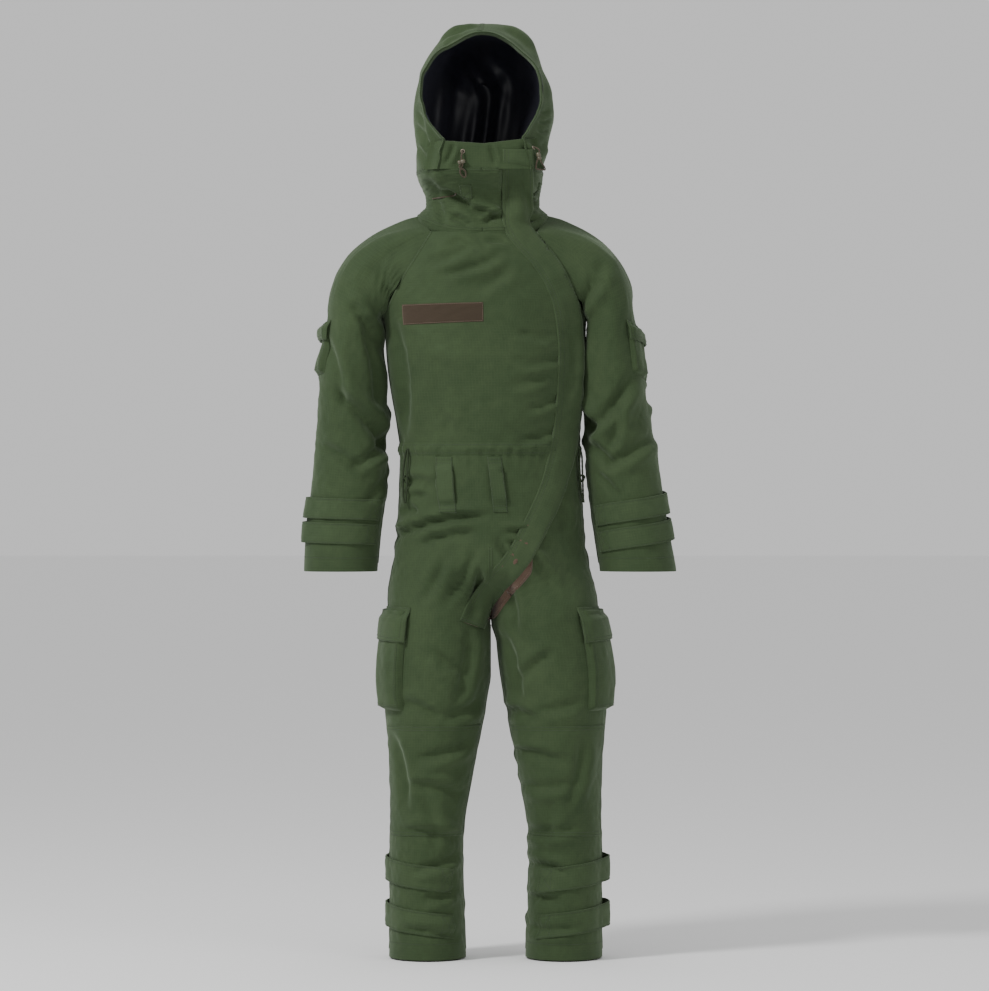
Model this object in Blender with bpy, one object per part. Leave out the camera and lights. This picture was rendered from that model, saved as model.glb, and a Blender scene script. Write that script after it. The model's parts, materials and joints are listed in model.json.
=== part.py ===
"""Hooded protective coverall, built panel by panel.

Metres, +Z up. The front faces -Y and the wearer's left is +X. The origin is the
middle of the neck base, where a hanger or a dummy carries the garment.
"""
import math

import bpy
from mathutils import Vector

# ---- cloth and clearances ---------------------------------------------------
CLOTH = 0.0036        # thickness of one panel
SEAM = 0.0008         # open gap between two neighbouring panels
TURN = 0.0008         # each side of a joint's round gap keeps this off the surface
LAYER = 0.0012        # gap between a panel and a piece sewn on top of it
TRIM = 0.0030         # thickness of a sewn-on strip or tab

# ---- joints -----------------------------------------------------------------
SHOULDER = {"left": (0.222, 0.0, -0.078), "right": (-0.246, 0.0, -0.078)}
SHOULDER_R = 0.087
ELBOW_Z, ELBOW_R = -0.375, 0.096
HIP_Z, HIP_R, HIP_WIDE = -0.620, 0.155, 0.228
KNEE_Z, KNEE_R = -0.975, 0.122
HOOD_PIVOT = (0.0, 0.100, 0.1175)

# ---- heights ----------------------------------------------------------------
NECK_Z = 0.006
COLLAR_TOP = 0.1145
HOOD_BASE = 0.1205
WAIST_Z = -0.412
CUFF_Z = {"left": -0.646, "right": -0.646}
HEM_Z = -1.390
ARMHOLE_Z = -0.160

# ---- section tables: height, centre x, centre y, half width, half depth ------
TORSO = [
    (0.010, -0.010, 0.004, 0.128, 0.090),
    (-0.030, -0.010, 0.002, 0.190, 0.104),
    (-0.080, -0.009, 0.002, 0.222, 0.117),
    (-0.130, -0.009, 0.002, 0.210, 0.127),
    (-0.155, -0.009, 0.002, 0.195, 0.130),
    (-0.180, -0.008, 0.002, 0.191, 0.131),
    (-0.240, -0.006, 0.002, 0.187, 0.131),
    (-0.330, -0.002, 0.002, 0.179, 0.125),
    (-0.412, 0.001, 0.002, 0.172, 0.118),
    (-0.500, 0.003, 0.002, 0.176, 0.123),
    (-0.580, 0.003, 0.002, 0.181, 0.127),
    (-0.650, 0.003, 0.002, 0.190, 0.127),
    (-0.720, 0.004, 0.002, 0.206, 0.124),
    (-0.800, 0.006, 0.002, 0.214, 0.118),
]
COLLAR = [
    (0.200, -0.012, 0.006, 0.110, 0.092),
    (-0.100, -0.012, 0.006, 0.110, 0.092),
]
ARM = {
    "left": [
        (-0.100, 0.2320, 0.004, 0.044, 0.078),
        (-0.180, 0.2350, 0.004, 0.046, 0.080),
        (-0.300, 0.240, 0.004, 0.057, 0.076),
        (-0.375, 0.245, 0.004, 0.062, 0.073),
        (-0.430, 0.251, 0.002, 0.068, 0.072),
        (-0.506, 0.264, 0.000, 0.071, 0.072),
        (-0.560, 0.273, -0.003, 0.073, 0.072),
        (-0.646, 0.288, -0.007, 0.074, 0.072),
    ],
    "right": [
        (-0.100, -0.256, 0.004, 0.050, 0.078),
        (-0.180, -0.2625, 0.004, 0.053, 0.080),
        (-0.300, -0.2635, 0.004, 0.062, 0.076),
        (-0.375, -0.264, 0.004, 0.066, 0.073),
        (-0.430, -0.265, 0.002, 0.070, 0.072),
        (-0.506, -0.271, 0.000, 0.073, 0.072),
        (-0.560, -0.281, -0.003, 0.073, 0.072),
        (-0.646, -0.286, -0.007, 0.071, 0.072),
    ],
}
LEG_SHIFT = 0.0130
LEG = [
    (-0.640, 0.0930, 0.002, 0.0960, 0.112),
    (-0.720, 0.1000, 0.002, 0.1030, 0.116),
    (-0.800, 0.1100, 0.002, 0.1060, 0.115),
    (-0.860, 0.1145, 0.002, 0.1050, 0.111),
    (-0.965, 0.1190, 0.000, 0.0890, 0.099),
    (-1.045, 0.1245, 0.000, 0.0790, 0.092),
    (-1.125, 0.1320, 0.003, 0.0705, 0.087),
    (-1.180, 0.1350, 0.005, 0.0705, 0.086),
    (-1.285, 0.1325, 0.006, 0.0720, 0.086),
    (-1.390, 0.1315, 0.007, 0.0745, 0.088),
]
LEG_SHIFT_TOP = 0.006

# ---- curves on the body: height, x ------------------------------------------
ZIP_LINE = [
    (0.115, 0.036), (0.040, 0.050), (0.006, 0.064), (-0.040, 0.098), (-0.085, 0.128),
    (-0.135, 0.148), (-0.190, 0.156), (-0.240, 0.157), (-0.320, 0.153), (-0.380, 0.146),
    (-0.440, 0.136), (-0.485, 0.122), (-0.530, 0.103), (-0.606, 0.066), (-0.656, 0.028),
    (-0.692, -0.014), (-0.720, -0.050),
]
RAGLAN_FRONT = [
    (0.010, 0.092), (-0.045, 0.126), (-0.080, 0.150), (-0.120, 0.170), (-0.145, 0.181),
    (-0.160, 0.192),
]

# ---- colours: base colour, roughness, metallic ------------------------------
GREEN = (0.058, 0.079, 0.038)
GREEN_LIGHT = (0.072, 0.096, 0.050)
SATIN = (0.006, 0.006, 0.008)
BROWN = (0.060, 0.043, 0.027)
CORD = (0.075, 0.052, 0.030)
METAL = (0.30, 0.27, 0.22)
FABRIC_ROUGH, SATIN_ROUGH, PLASTIC_ROUGH, METAL_ROUGH = 0.92, 0.36, 0.45, 0.35

SIDES = (("left", 1.0), ("right", -1.0))
SHARP_EDGE = math.radians(32)

for old in list(bpy.data.objects):
    bpy.data.objects.remove(old, do_unlink=True)


def material(name, colour, rough=FABRIC_ROUGH, metal=0.0):
    mat = bpy.data.materials.get(name)
    if mat is None:
        mat = bpy.data.materials.new(name)
        mat.use_nodes = True
        shader = mat.node_tree.nodes["Principled BSDF"]
        shader.inputs["Base Color"].default_value = (*colour, 1.0)
        shader.inputs["Roughness"].default_value = rough
        shader.inputs["Metallic"].default_value = metal
        mat.diffuse_color = (*colour, 1.0)
    return mat


def table(rows, z):
    """Linear reading of a table that runs from its highest row down."""
    if z >= rows[0][0]:
        return rows[0][1:]
    for upper, lower in zip(rows, rows[1:]):
        if z >= lower[0]:
            t = (upper[0] - z) / (upper[0] - lower[0])
            return tuple(p + (q - p) * t for p, q in zip(upper[1:], lower[1:]))
    return rows[-1][1:]


def leg_rows(sign):
    rows = []
    for z, dx, cy, a, b in LEG:
        fall = min(1.0, max(0.0, (-0.66 - z) / 0.16))
        shift = LEG_SHIFT_TOP + (LEG_SHIFT - LEG_SHIFT_TOP) * fall
        rows.append((z, shift + sign * dx, cy, a, b))
    return rows


def around(rows, phi, z, off=0.0):
    """Point on a tube: phi 0 is the front, 90 degrees is +X; off is outwards."""
    cx, cy, a, b = table(rows, z)
    return Vector((cx + (a + off) * math.sin(phi), cy - (b + off) * math.cos(phi), z))


def phi_of_x(rows, x, z, off=0.0):
    cx, _cy, a, _b = table(rows, z)
    return math.asin(max(-0.999, min(0.999, (x - cx) / (a + off))))


def meet(rows, bound):
    """Height at which a tube's side crosses a surface z = bound(x, y)."""
    def height(phi, off):
        z = bound(*around(rows, phi, 0.0, off).xy)
        for _ in range(12):
            z = bound(*around(rows, phi, z, off).xy)
        return z
    return height


def arc_below(y0, z0, radius):
    return lambda x, y: z0 - math.sqrt(max(radius ** 2 - (y - y0) ** 2, 1e-6))


def hip_surface(extra):
    """Surface of revolution about the hip axis: the leg turns inside it."""
    def bound(x, y):
        k = 1.0 - ((x - LEG_SHIFT_TOP) / HIP_WIDE) ** 2
        r = HIP_R * math.sqrt(max(k, 0.02)) + extra
        return HIP_Z - math.sqrt(max(r * r - y * y, 1e-6))
    return bound


def link(name, verts, faces, mat, origin=(0.0, 0.0, 0.0)):
    origin = Vector(origin)
    mesh = bpy.data.meshes.new(name)
    mesh.from_pydata([Vector(v) - origin for v in verts], [], faces)
    mesh.materials.append(mat)
    mesh.update()
    mesh.polygons.foreach_set("use_smooth", [True] * len(mesh.polygons))
    mesh.set_sharp_from_angle(angle=SHARP_EDGE)
    obj = bpy.data.objects.new(name, mesh)
    obj.location = origin
    bpy.context.scene.collection.objects.link(obj)
    return obj


def shell(name, outer, inner, mat, closed=False, origin=(0.0, 0.0, 0.0)):
    """Closed solid between two grids [row][column]; closed wraps the columns."""
    rows, cols = len(outer), len(outer[0])
    verts = [p for row in outer for p in row] + [p for row in inner for p in row]
    half = rows * cols

    def at(side, i, j):
        return side * half + i * cols + (j % cols)

    faces = []
    last = cols if closed else cols - 1
    for i in range(rows - 1):
        for j in range(last):
            faces.append((at(0, i, j), at(0, i, j + 1), at(0, i + 1, j + 1), at(0, i + 1, j)))
            faces.append((at(1, i, j), at(1, i + 1, j), at(1, i + 1, j + 1), at(1, i, j + 1)))
    for j in range(last):
        faces.append((at(0, 0, j + 1), at(0, 0, j), at(1, 0, j), at(1, 0, j + 1)))
        faces.append((at(0, rows - 1, j), at(0, rows - 1, j + 1),
                      at(1, rows - 1, j + 1), at(1, rows - 1, j)))
    if not closed:
        for i in range(rows - 1):
            faces.append((at(0, i, 0), at(0, i + 1, 0), at(1, i + 1, 0), at(1, i, 0)))
            faces.append((at(0, i + 1, cols - 1), at(0, i, cols - 1),
                          at(1, i, cols - 1), at(1, i + 1, cols - 1)))
    obj = link(name, verts, faces, mat, origin)
    outward(obj)
    return obj


def outward(obj):
    """Turn the faces so that the solid has a positive volume."""
    mesh = obj.data
    mesh.calc_loop_triangles()
    volume = 0.0
    for tri in mesh.loop_triangles:
        a, b, c = (mesh.vertices[i].co for i in tri.vertices)
        volume += a.dot(b.cross(c))
    if volume < 0.0:
        mesh.flip_normals()


def spread(start, end, count):
    return [start + (end - start) * i / count for i in range(count + 1)]


def height_of(edge, phi, off):
    return edge(phi, off) if callable(edge) else edge


def band(name, rows, phis, top, bottom, off0, off1, levels, mat, closed=False,
         origin=(0.0, 0.0, 0.0)):
    """Piece of a tube's wall between two offsets, two angles and two edges."""
    grids = []
    for off in (off1, off0):
        grid = []
        for i in range(levels + 1):
            row = []
            for phi in phis:
                z1, z0 = height_of(top, phi, off), height_of(bottom, phi, off)
                row.append(around(rows, phi, z1 + (z0 - z1) * i / levels, off))
            grid.append(row)
        grids.append(grid)
    return shell(name, grids[0], grids[1], mat, closed, origin)


def ring(count):
    return [math.tau * i / count for i in range(count)]


def panel(name, rows, phi_from, phi_to, heights, off0, off1, cols, mat, bottom=None):
    """Panel whose side edges are curves; the last row may end on a surface."""
    grids = []
    top, base = heights[0], heights[-1]
    for off in (off1, off0):
        grid = []
        for z in heights:
            row = []
            for j in range(cols + 1):
                phi = phi_from(z) + (phi_to(z) - phi_from(z)) * j / cols
                height = z
                if bottom is not None:
                    height = top + (bottom(phi, off) - top) * (top - z) / (top - base)
                row.append(around(rows, phi, height, off))
            grid.append(row)
        grids.append(grid)
    return shell(name, grids[0], grids[1], mat)


def prism(name, outline, z0, z1, mat, origin=(0.0, 0.0, 0.0)):
    """Upright prism from a plan outline."""
    n = len(outline)
    verts = [(x, y, z0) for x, y in outline] + [(x, y, z1) for x, y in outline]
    faces = [tuple(range(n))[::-1], tuple(range(n, 2 * n))]
    faces += [(i, (i + 1) % n, n + (i + 1) % n, n + i) for i in range(n)]
    obj = link(name, verts, faces, mat, origin)
    outward(obj)
    return obj


def tube_along(name, points, radius, mat, sides=8, origin=(0.0, 0.0, 0.0)):
    """Round cord through a list of points, with flat ends."""
    points = [Vector(p) for p in points]
    verts, faces = [], []
    side = Vector((1.0, 0.0, 0.0))
    for i, p in enumerate(points):
        before = points[max(i - 1, 0)]
        after = points[min(i + 1, len(points) - 1)]
        along = (after - before).normalized()
        side = (side - along * side.dot(along)).normalized()
        up = along.cross(side)
        for k in range(sides):
            angle = math.tau * k / sides
            verts.append(p + side * (radius * math.cos(angle)) + up * (radius * math.sin(angle)))
    for i in range(len(points) - 1):
        for k in range(sides):
            m = (k + 1) % sides
            faces.append((i * sides + k, i * sides + m, (i + 1) * sides + m, (i + 1) * sides + k))
    faces.append(tuple(range(sides))[::-1])
    faces.append(tuple((len(points) - 1) * sides + k for k in range(sides)))
    obj = link(name, verts, faces, mat, origin)
    outward(obj)
    return obj


green = material("twill_green", GREEN)
green_light = material("twill_green_light", GREEN_LIGHT)
satin = material("lining_satin", SATIN, SATIN_ROUGH)
brown = material("hook_loop_brown", BROWN)
cord_mat = material("cord_brown", CORD)
plastic = material("toggle_plastic", CORD, PLASTIC_ROUGH)
brass = material("zip_metal", METAL, METAL_ROUGH, 1.0)


def zip_x(z):
    return table(ZIP_LINE, z)[0]


def zip_phi(z, shift=0.0, rows=TORSO):
    return phi_of_x(rows, zip_x(z) + shift, z)


def raglan_phi(z, sign, limit):
    """Angle of the raglan seam; below the armhole it is the side seam."""
    if z <= ARMHOLE_Z:
        return sign * limit
    cx = table(TORSO, z)[0]
    x = table(RAGLAN_FRONT, z)[0]
    return sign * min(limit, phi_of_x(TORSO, cx + x + 0.006, z))


# ---- torso ------------------------------------------------------------------
SIDE_GAP = SEAM / 2 / 0.12        # half a seam as an angle at the side seam
HALF_PI = math.pi / 2
FRONT_LIMIT = HALF_PI - SIDE_GAP
ZIP_HALF = 0.0070                 # half the width that the zip leaves open


def front_right_edge(z):
    return raglan_phi(z, -1.0, FRONT_LIMIT)


def front_left_edge(z):
    return raglan_phi(z, 1.0, FRONT_LIMIT)


CHEST_LEVELS = [NECK_Z - SEAM, -0.030, -0.055, -0.080, -0.105, -0.130, -0.148, -0.160,
                -0.180, -0.240, -0.330, WAIST_Z + SEAM / 2]
LOWER_LEVELS = [WAIST_Z - SEAM / 2, -0.456, -0.500, -0.540, -0.580, -0.615, -0.650,
                -0.685, -0.712]
hip_edge = meet(TORSO, hip_surface(-TURN))

panel("front_panel_right", TORSO, front_right_edge,
      lambda z: zip_phi(z, -ZIP_HALF), CHEST_LEVELS, -CLOTH, 0.0, 12, green)
panel("front_panel_left", TORSO, lambda z: zip_phi(z, ZIP_HALF),
      front_left_edge, CHEST_LEVELS, -CLOTH, 0.0, 4, green)
panel("back_panel", TORSO, lambda z: math.pi - front_left_edge(z),
      lambda z: math.pi - front_right_edge(z), CHEST_LEVELS, -CLOTH, 0.0, 16, green)
panel("lower_front_right", TORSO, lambda z: -FRONT_LIMIT,
      lambda z: zip_phi(z, -ZIP_HALF), LOWER_LEVELS, -CLOTH, 0.0, 12, green, hip_edge)
panel("lower_front_left", TORSO, lambda z: zip_phi(z, ZIP_HALF),
      lambda z: FRONT_LIMIT, LOWER_LEVELS, -CLOTH, 0.0, 8, green, hip_edge)
panel("seat_panel", TORSO, lambda z: math.pi - FRONT_LIMIT,
      lambda z: math.pi + FRONT_LIMIT, LOWER_LEVELS[::2], -CLOTH, 0.0, 16, green, hip_edge)

# crotch gusset: a saddle that closes the gap between the two leg openings
GUSSET_HALF, GUSSET_STEPS, GUSSET_REACH = 0.036, 10, 0.1130


def gusset_point(dx, t, depth):
    """Point on the round surface about the hip axis, depth inside it."""
    r = HIP_R * math.sqrt(1.0 - (dx / HIP_WIDE) ** 2) - depth
    angle = math.asin(GUSSET_REACH / r) * t
    return Vector((LEG_SHIFT_TOP + dx, r * math.sin(angle), HIP_Z - r * math.cos(angle)))


gusset = [[[gusset_point(dx, t, depth) for dx in spread(-GUSSET_HALF, GUSSET_HALF, 2)]
           for t in spread(-1.0, 1.0, GUSSET_STEPS)] for depth in (TURN, TURN + CLOTH)]
shell("crotch_gusset", gusset[0], gusset[1], green)

# waist channel: a band round the waist, open where the zip runs
CHANNEL_HALF = 0.0115
CHANNEL_OPEN = 0.0180             # from the middle of the zip to the channel's end
channel_from = zip_phi(WAIST_Z, CHANNEL_OPEN)
channel_to = zip_phi(WAIST_Z, -CHANNEL_OPEN) + math.tau
band("waist_channel", TORSO, spread(channel_from, channel_to, 36),
     WAIST_Z + CHANNEL_HALF, WAIST_Z - CHANNEL_HALF, LAYER, LAYER + 0.0045, 1, green_light)

# collar: open where the zip runs
COLLAR_ZIP = 0.070                # half the collar's opening, as an angle
ZIP_AXIS_X = 0.046                # the straight run of the zip in the collar
collar_zip_phi = phi_of_x(COLLAR, ZIP_AXIS_X, 0.05)
band("collar", COLLAR, spread(collar_zip_phi + COLLAR_ZIP,
                              collar_zip_phi - COLLAR_ZIP + math.tau, 28),
     COLLAR_TOP, NECK_Z, -CLOTH, 0.0, 3, green_light)


# ---- raglan shoulder heads --------------------------------------------------
def arm_ring(side, radius, off, count):
    """Open end of a sleeve on the arc about the shoulder's axis."""
    px, _py, pz = SHOULDER[side]

    def bound(x, _y):
        return pz - math.sqrt(max(radius ** 2 - (x - px) ** 2, 1e-6))
    height = meet(ARM[side], bound)
    return [around(ARM[side], phi, height(phi, off), off) for phi in ring(count)]


RING, HEAD_STEPS = 24, 5
HEAD_EASE = {"left": -0.0030, "right": 0.0}   # how far the head's cloth sways front to back


RAGLAN_GAP = 0.0045
HEAD_RISE, HEAD_REACH = 0.012, 0.020      # the seam beside the collar bows out and up
TIP_OUT, TIP_Z, TIP_DEPTH = 0.052, -0.012, 0.072


def raglan_point(side, sign, k, off):
    """Point k of the loop where a shoulder head meets the body and the collar."""
    phi = math.tau * k / RING
    inwards, front = -sign * math.sin(phi), math.cos(phi)
    over = max(0.0, -inwards)                 # how far past the top of the seam
    top = NECK_Z - 0.004
    low = ARMHOLE_Z + 0.004
    z = low + (top - low) * (1.0 - max(0.0, inwards))
    cx, cy, a, b = table(TORSO, z)
    seam_phi = raglan_phi(z, sign, FRONT_LIMIT)
    x = cx + (a + off) * math.sin(seam_phi) + sign * RAGLAN_GAP
    depth = (b + off) * math.cos(seam_phi)
    if over > 0.0:
        bow = 1.0 - abs(front)
        return Vector((x + sign * HEAD_REACH * bow, cy - depth * front,
                       z + HEAD_RISE * bow + off))
    way = 0.0 if abs(front) < 1e-6 else math.copysign(1.0, front)
    return Vector((x, cy - depth * way, z + off * 0.3))


def shoulder_head(side, sign):
    """Raglan head: lofted from the seam round the body to the open sleeve end."""
    px = SHOULDER[side][0]
    grids = []
    for off in (0.0, -CLOTH):
        end = arm_ring(side, SHOULDER_R - TURN, off, RING)
        grid = [[] for _ in range(HEAD_STEPS + 1)]
        for k, q in enumerate(end):
            phi = math.tau * k / RING
            p = raglan_point(side, sign, k, off)
            front = math.cos(phi)
            tip = Vector((px + sign * (TIP_OUT + off), -(TIP_DEPTH + off) * front,
                          TIP_Z + off))
            weight = max(0.0, min(1.0, 0.5 + 0.7 * sign * math.sin(phi)))
            c = ((p + q) / 2.0).lerp(tip, weight)
            for i, t in enumerate(spread(0.0, 1.0, HEAD_STEPS)):
                ease = Vector((0.0, HEAD_EASE[side] * math.sin(2.0 * math.pi * t), 0.0))
                grid[i].append(p * (1 - t) ** 2 + c * (2 * t * (1 - t)) + q * t ** 2 + ease)
        grids.append(grid)
    return shell("shoulder_" + side, grids[0], grids[1], green, closed=True)


for side, sign in SIDES:
    shoulder_head(side, sign)


# ---- sleeves ----------------------------------------------------------------
def sleeve_top(side):
    px, _py, pz = SHOULDER[side]

    def bound(x, _y):
        return pz - math.sqrt(max((SHOULDER_R + TURN) ** 2 - (x - px) ** 2, 1e-6))
    return meet(ARM[side], bound)


def tray(name, rows, phi0, phi1, z_top, z_bottom, depth, cols, levels, mat):
    """Bellows pocket: front, two sides and a floor; open at the top and behind."""
    wall = 0.0030
    mid = (z_top + z_bottom) / 2
    _cx, _cy, a, b = table(rows, mid)
    inset = wall / ((a + b) / 2)
    outer_phis = spread(phi0, phi1, cols)
    inner_phis = spread(phi0 + inset, phi1 - inset, cols)
    z_outer = spread(z_top, z_bottom, levels)
    z_inner = spread(z_top, z_bottom + wall, levels)
    verts, faces = [], []

    def add(p):
        verts.append(p)
        return len(verts) - 1

    out_hi = [[add(around(rows, f, z, depth)) for f in outer_phis] for z in z_outer]
    out_lo = [[add(around(rows, f, z, LAYER)) if i in (0, cols) or r == levels else None
               for i, f in enumerate(outer_phis)] for r, z in enumerate(z_outer)]
    in_hi = [[add(around(rows, f, z, depth - wall)) for f in inner_phis] for z in z_inner]
    in_lo = [[add(around(rows, f, z, LAYER)) if i in (0, cols) or r == levels else None
              for i, f in enumerate(inner_phis)] for r, z in enumerate(z_inner)]
    for r in range(levels):
        for i in range(cols):
            faces.append((out_hi[r][i], out_hi[r][i + 1], out_hi[r + 1][i + 1], out_hi[r + 1][i]))
            faces.append((in_hi[r][i], in_hi[r + 1][i], in_hi[r + 1][i + 1], in_hi[r][i + 1]))
        for i, flip in ((0, False), (cols, True)):
            quads = [
                (out_hi[r][i], out_hi[r + 1][i], out_lo[r + 1][i], out_lo[r][i]),
                (out_lo[r][i], out_lo[r + 1][i], in_lo[r + 1][i], in_lo[r][i]),
                (in_lo[r][i], in_lo[r + 1][i], in_hi[r + 1][i], in_hi[r][i]),
            ]
            faces += [q[::-1] if flip else q for q in quads]
    r = levels
    for i in range(cols):
        faces.append((out_hi[r][i], out_hi[r][i + 1], out_lo[r][i + 1], out_lo[r][i]))
        faces.append((out_lo[r][i], out_lo[r][i + 1], in_lo[r][i + 1], in_lo[r][i]))
        faces.append((in_lo[r][i], in_lo[r][i + 1], in_hi[r][i + 1], in_hi[r][i]))
        faces.append((out_hi[0][i + 1], out_hi[0][i], in_hi[0][i], in_hi[0][i + 1]))
    faces.append((out_hi[0][0], out_lo[0][0], in_lo[0][0], in_hi[0][0]))
    faces.append((out_lo[0][cols], out_hi[0][cols], in_hi[0][cols], in_lo[0][cols]))
    obj = link(name, verts, faces, mat)
    outward(obj)
    return obj


RAD = math.radians
SLEEVE_LEVELS = 4
POCKET_DEPTH = 0.0170
FLAP_SKIP = POCKET_DEPTH + LAYER      # a pocket flap lies outside the pocket
ARM_POCKET = {"left": (42, 118), "right": (-118, -58)}
ARM_POCKET_Z = (-0.172, -0.268)
ARM_FLAP_Z = (-0.168, -0.205)
TAB_WIDTH = 0.040
CUFF_TABS = {"left": (-0.530, -0.580), "right": (-0.527, -0.574)}
CUFF_SLOPE = {"left": 0.010, "right": 0.002}
CUFF_SPAN = (-62, 104)                # from the sewn end round the outer side


def flap_tilt(rows, phis, z_hinge, drop, off_top, off_bottom, mat, name):
    """Pocket flap hinged along its top edge; it lies over the pocket's mouth."""
    grids = []
    for extra in (TRIM, 0.0):
        grid = []
        for t in (0.0, 0.12, 1.0):
            off = off_top if t == 0.0 else off_bottom
            grid.append([around(rows, f, z_hinge - drop * t, off + extra) for f in phis])
        grids.append(grid)
    hinge = around(rows, (phis[0] + phis[-1]) / 2, z_hinge, off_bottom)
    return shell(name, grids[0], grids[1], mat, origin=hinge)


def strap(name, rows, phi_from, phi_to, z_at, width, off, mat, cols=12):
    """Tab wrapped round a limb, sewn at phi_from; its origin is that end."""
    grids = []
    for o in (off + TRIM, off):
        grid = []
        for dz in (width / 2, -width / 2):
            grid.append([around(rows, f, z_at(f) + dz, o)
                         for f in spread(phi_from, phi_to, cols)])
        grids.append(grid)
    origin = around(rows, phi_from, z_at(phi_from), off)
    return shell(name, grids[0], grids[1], mat, origin=origin)


for side, sign in SIDES:
    rows = ARM[side]
    circle = ring(RING)
    elbow_y = table(rows, ELBOW_Z)[1]
    band("upper_sleeve_" + side, rows, circle, sleeve_top(side),
         meet(rows, arc_below(elbow_y, ELBOW_Z, ELBOW_R - TURN)), -CLOTH, 0.0,
         SLEEVE_LEVELS, green, closed=True, origin=SHOULDER[side])
    band("lower_sleeve_" + side, rows, circle,
         meet(rows, arc_below(elbow_y, ELBOW_Z, ELBOW_R + TURN)), CUFF_Z[side], -CLOTH, 0.0,
         SLEEVE_LEVELS, green, closed=True,
         origin=(table(rows, ELBOW_Z)[0], elbow_y, ELBOW_Z))
    low, high = (RAD(v) for v in ARM_POCKET[side])
    tray("sleeve_pocket_" + side, rows, low, high, ARM_POCKET_Z[0], ARM_POCKET_Z[1],
         POCKET_DEPTH, 8, 4, green)
    flap_tilt(rows, spread(low - 0.02, high + 0.02, 8), ARM_POCKET_Z[0] + 0.006,
              ARM_POCKET_Z[0] + 0.006 - ARM_FLAP_Z[1], FLAP_SKIP, FLAP_SKIP,
              green_light, "sleeve_flap_" + side)
    for place, z_tab in zip(("upper", "lower"), CUFF_TABS[side]):
        start, stop = (RAD(sign * v) for v in CUFF_SPAN)
        slope = CUFF_SLOPE[side]
        strap("cuff_tab_%s_%s" % (place, side), rows, start, stop,
              lambda f, z=z_tab, s=sign, k=slope: z + k * (s * f), TAB_WIDTH, LAYER,
              green_light)

# ---- legs -------------------------------------------------------------------
CARGO_SPAN = (38, 128)
CARGO_Z = (-0.722, -0.915)
CARGO_DEPTH = 0.0170
ANKLE_TABS = (-1.233, -1.321)
ANKLE_SPAN = (-44, 122)
ANKLE_WIDTH = 0.046
ANKLE_SLOPE = 0.009
PAD_SPAN = (-74, 74)
PAD_Z = (-1.052, -1.154)
PAD_OFF = 0.0030

for side, sign in SIDES:
    rows = leg_rows(sign)
    circle = ring(RING)
    knee = (table(rows, KNEE_Z)[0], 0.0, KNEE_Z)
    band("thigh_" + side, rows, circle, meet(rows, hip_surface(TURN)),
         meet(rows, arc_below(0.0, KNEE_Z, KNEE_R - TURN)), -CLOTH, 0.0, 5, green,
         closed=True, origin=(LEG_SHIFT_TOP + sign * 0.100, 0.0, HIP_Z))
    band("shin_" + side, rows, circle, meet(rows, arc_below(0.0, KNEE_Z, KNEE_R + TURN)),
         HEM_Z, -CLOTH, 0.0, 5, green, closed=True, origin=knee)
    start, stop = (RAD(sign * v) for v in CARGO_SPAN)
    low, high = min(start, stop), max(start, stop)
    tray("cargo_pocket_" + side, rows, low, high, CARGO_Z[0], CARGO_Z[1], CARGO_DEPTH,
         10, 4, green)
    flap_tilt(rows, spread(low - 0.02, high + 0.02, 10), CARGO_Z[0] + 0.008, 0.070,
              FLAP_SKIP, FLAP_SKIP, green_light, "cargo_flap_" + side)
    start, stop = (RAD(sign * v) for v in PAD_SPAN)
    band("knee_panel_" + side, rows, spread(min(start, stop), max(start, stop), 14),
         meet(rows, lambda x, y: KNEE_Z - 0.018 - math.sqrt(KNEE_R ** 2 - y * y)),
         PAD_Z[1], PAD_OFF, PAD_OFF + TRIM, 4, green_light)
    for place, z_tab in zip(("upper", "lower"), ANKLE_TABS):
        start, stop = (RAD(sign * v) for v in ANKLE_SPAN)
        strap("ankle_tab_%s_%s" % (place, side), rows, start, stop,
              lambda f, z=z_tab, s=sign: z + ANKLE_SLOPE * (s * f), ANKLE_WIDTH, LAYER,
              green_light)

# ---- zip and storm flap -----------------------------------------------------
TAPE_HALF, TAPE_OFF, TAPE_THICK = 0.0120, 0.0012, 0.0014
FLAP_HALF, FLAP_OFF = 0.0235, 0.0092
NECK_CLEAR = 0.02                     # below this the strips stay outside the body too


def front_strip(name, heights, half, off, thick, cols, mat):
    """Strip that follows the zip line over the collar and the body."""
    grids = []
    for o in (off + thick, off):
        grid = []
        for z in heights:
            row = []
            for j in range(cols + 1):
                x = zip_x(z) + half * (2.0 * j / cols - 1.0)
                if z > NECK_Z:
                    x = ZIP_AXIS_X + half * (2.0 * j / cols - 1.0)
                pick = COLLAR if z > NECK_Z else TORSO
                p = around(pick, phi_of_x(pick, x, z, o), z, o)
                if NECK_Z < z < NECK_CLEAR:
                    below = around(TORSO, phi_of_x(TORSO, x, NECK_Z, o), NECK_Z, o)
                    p.y = min(p.y, below.y)
                row.append(p)
            grid.append(row)
        grids.append(grid)
    return shell(name, grids[0], grids[1], mat)


STRIP_BODY = CHEST_LEVELS[1:-1] + [-0.370, WAIST_Z] + LOWER_LEVELS[1:-1]
front_strip("zip_tape", [0.112, 0.055, 0.0240, 0.0075] + STRIP_BODY, TAPE_HALF, TAPE_OFF,
            TAPE_THICK, 4, brown)
front_strip("storm_flap", [0.1140, 0.060, 0.0240, 0.0075] + STRIP_BODY, FLAP_HALF,
            FLAP_OFF, TRIM, 6, green_light)

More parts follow.
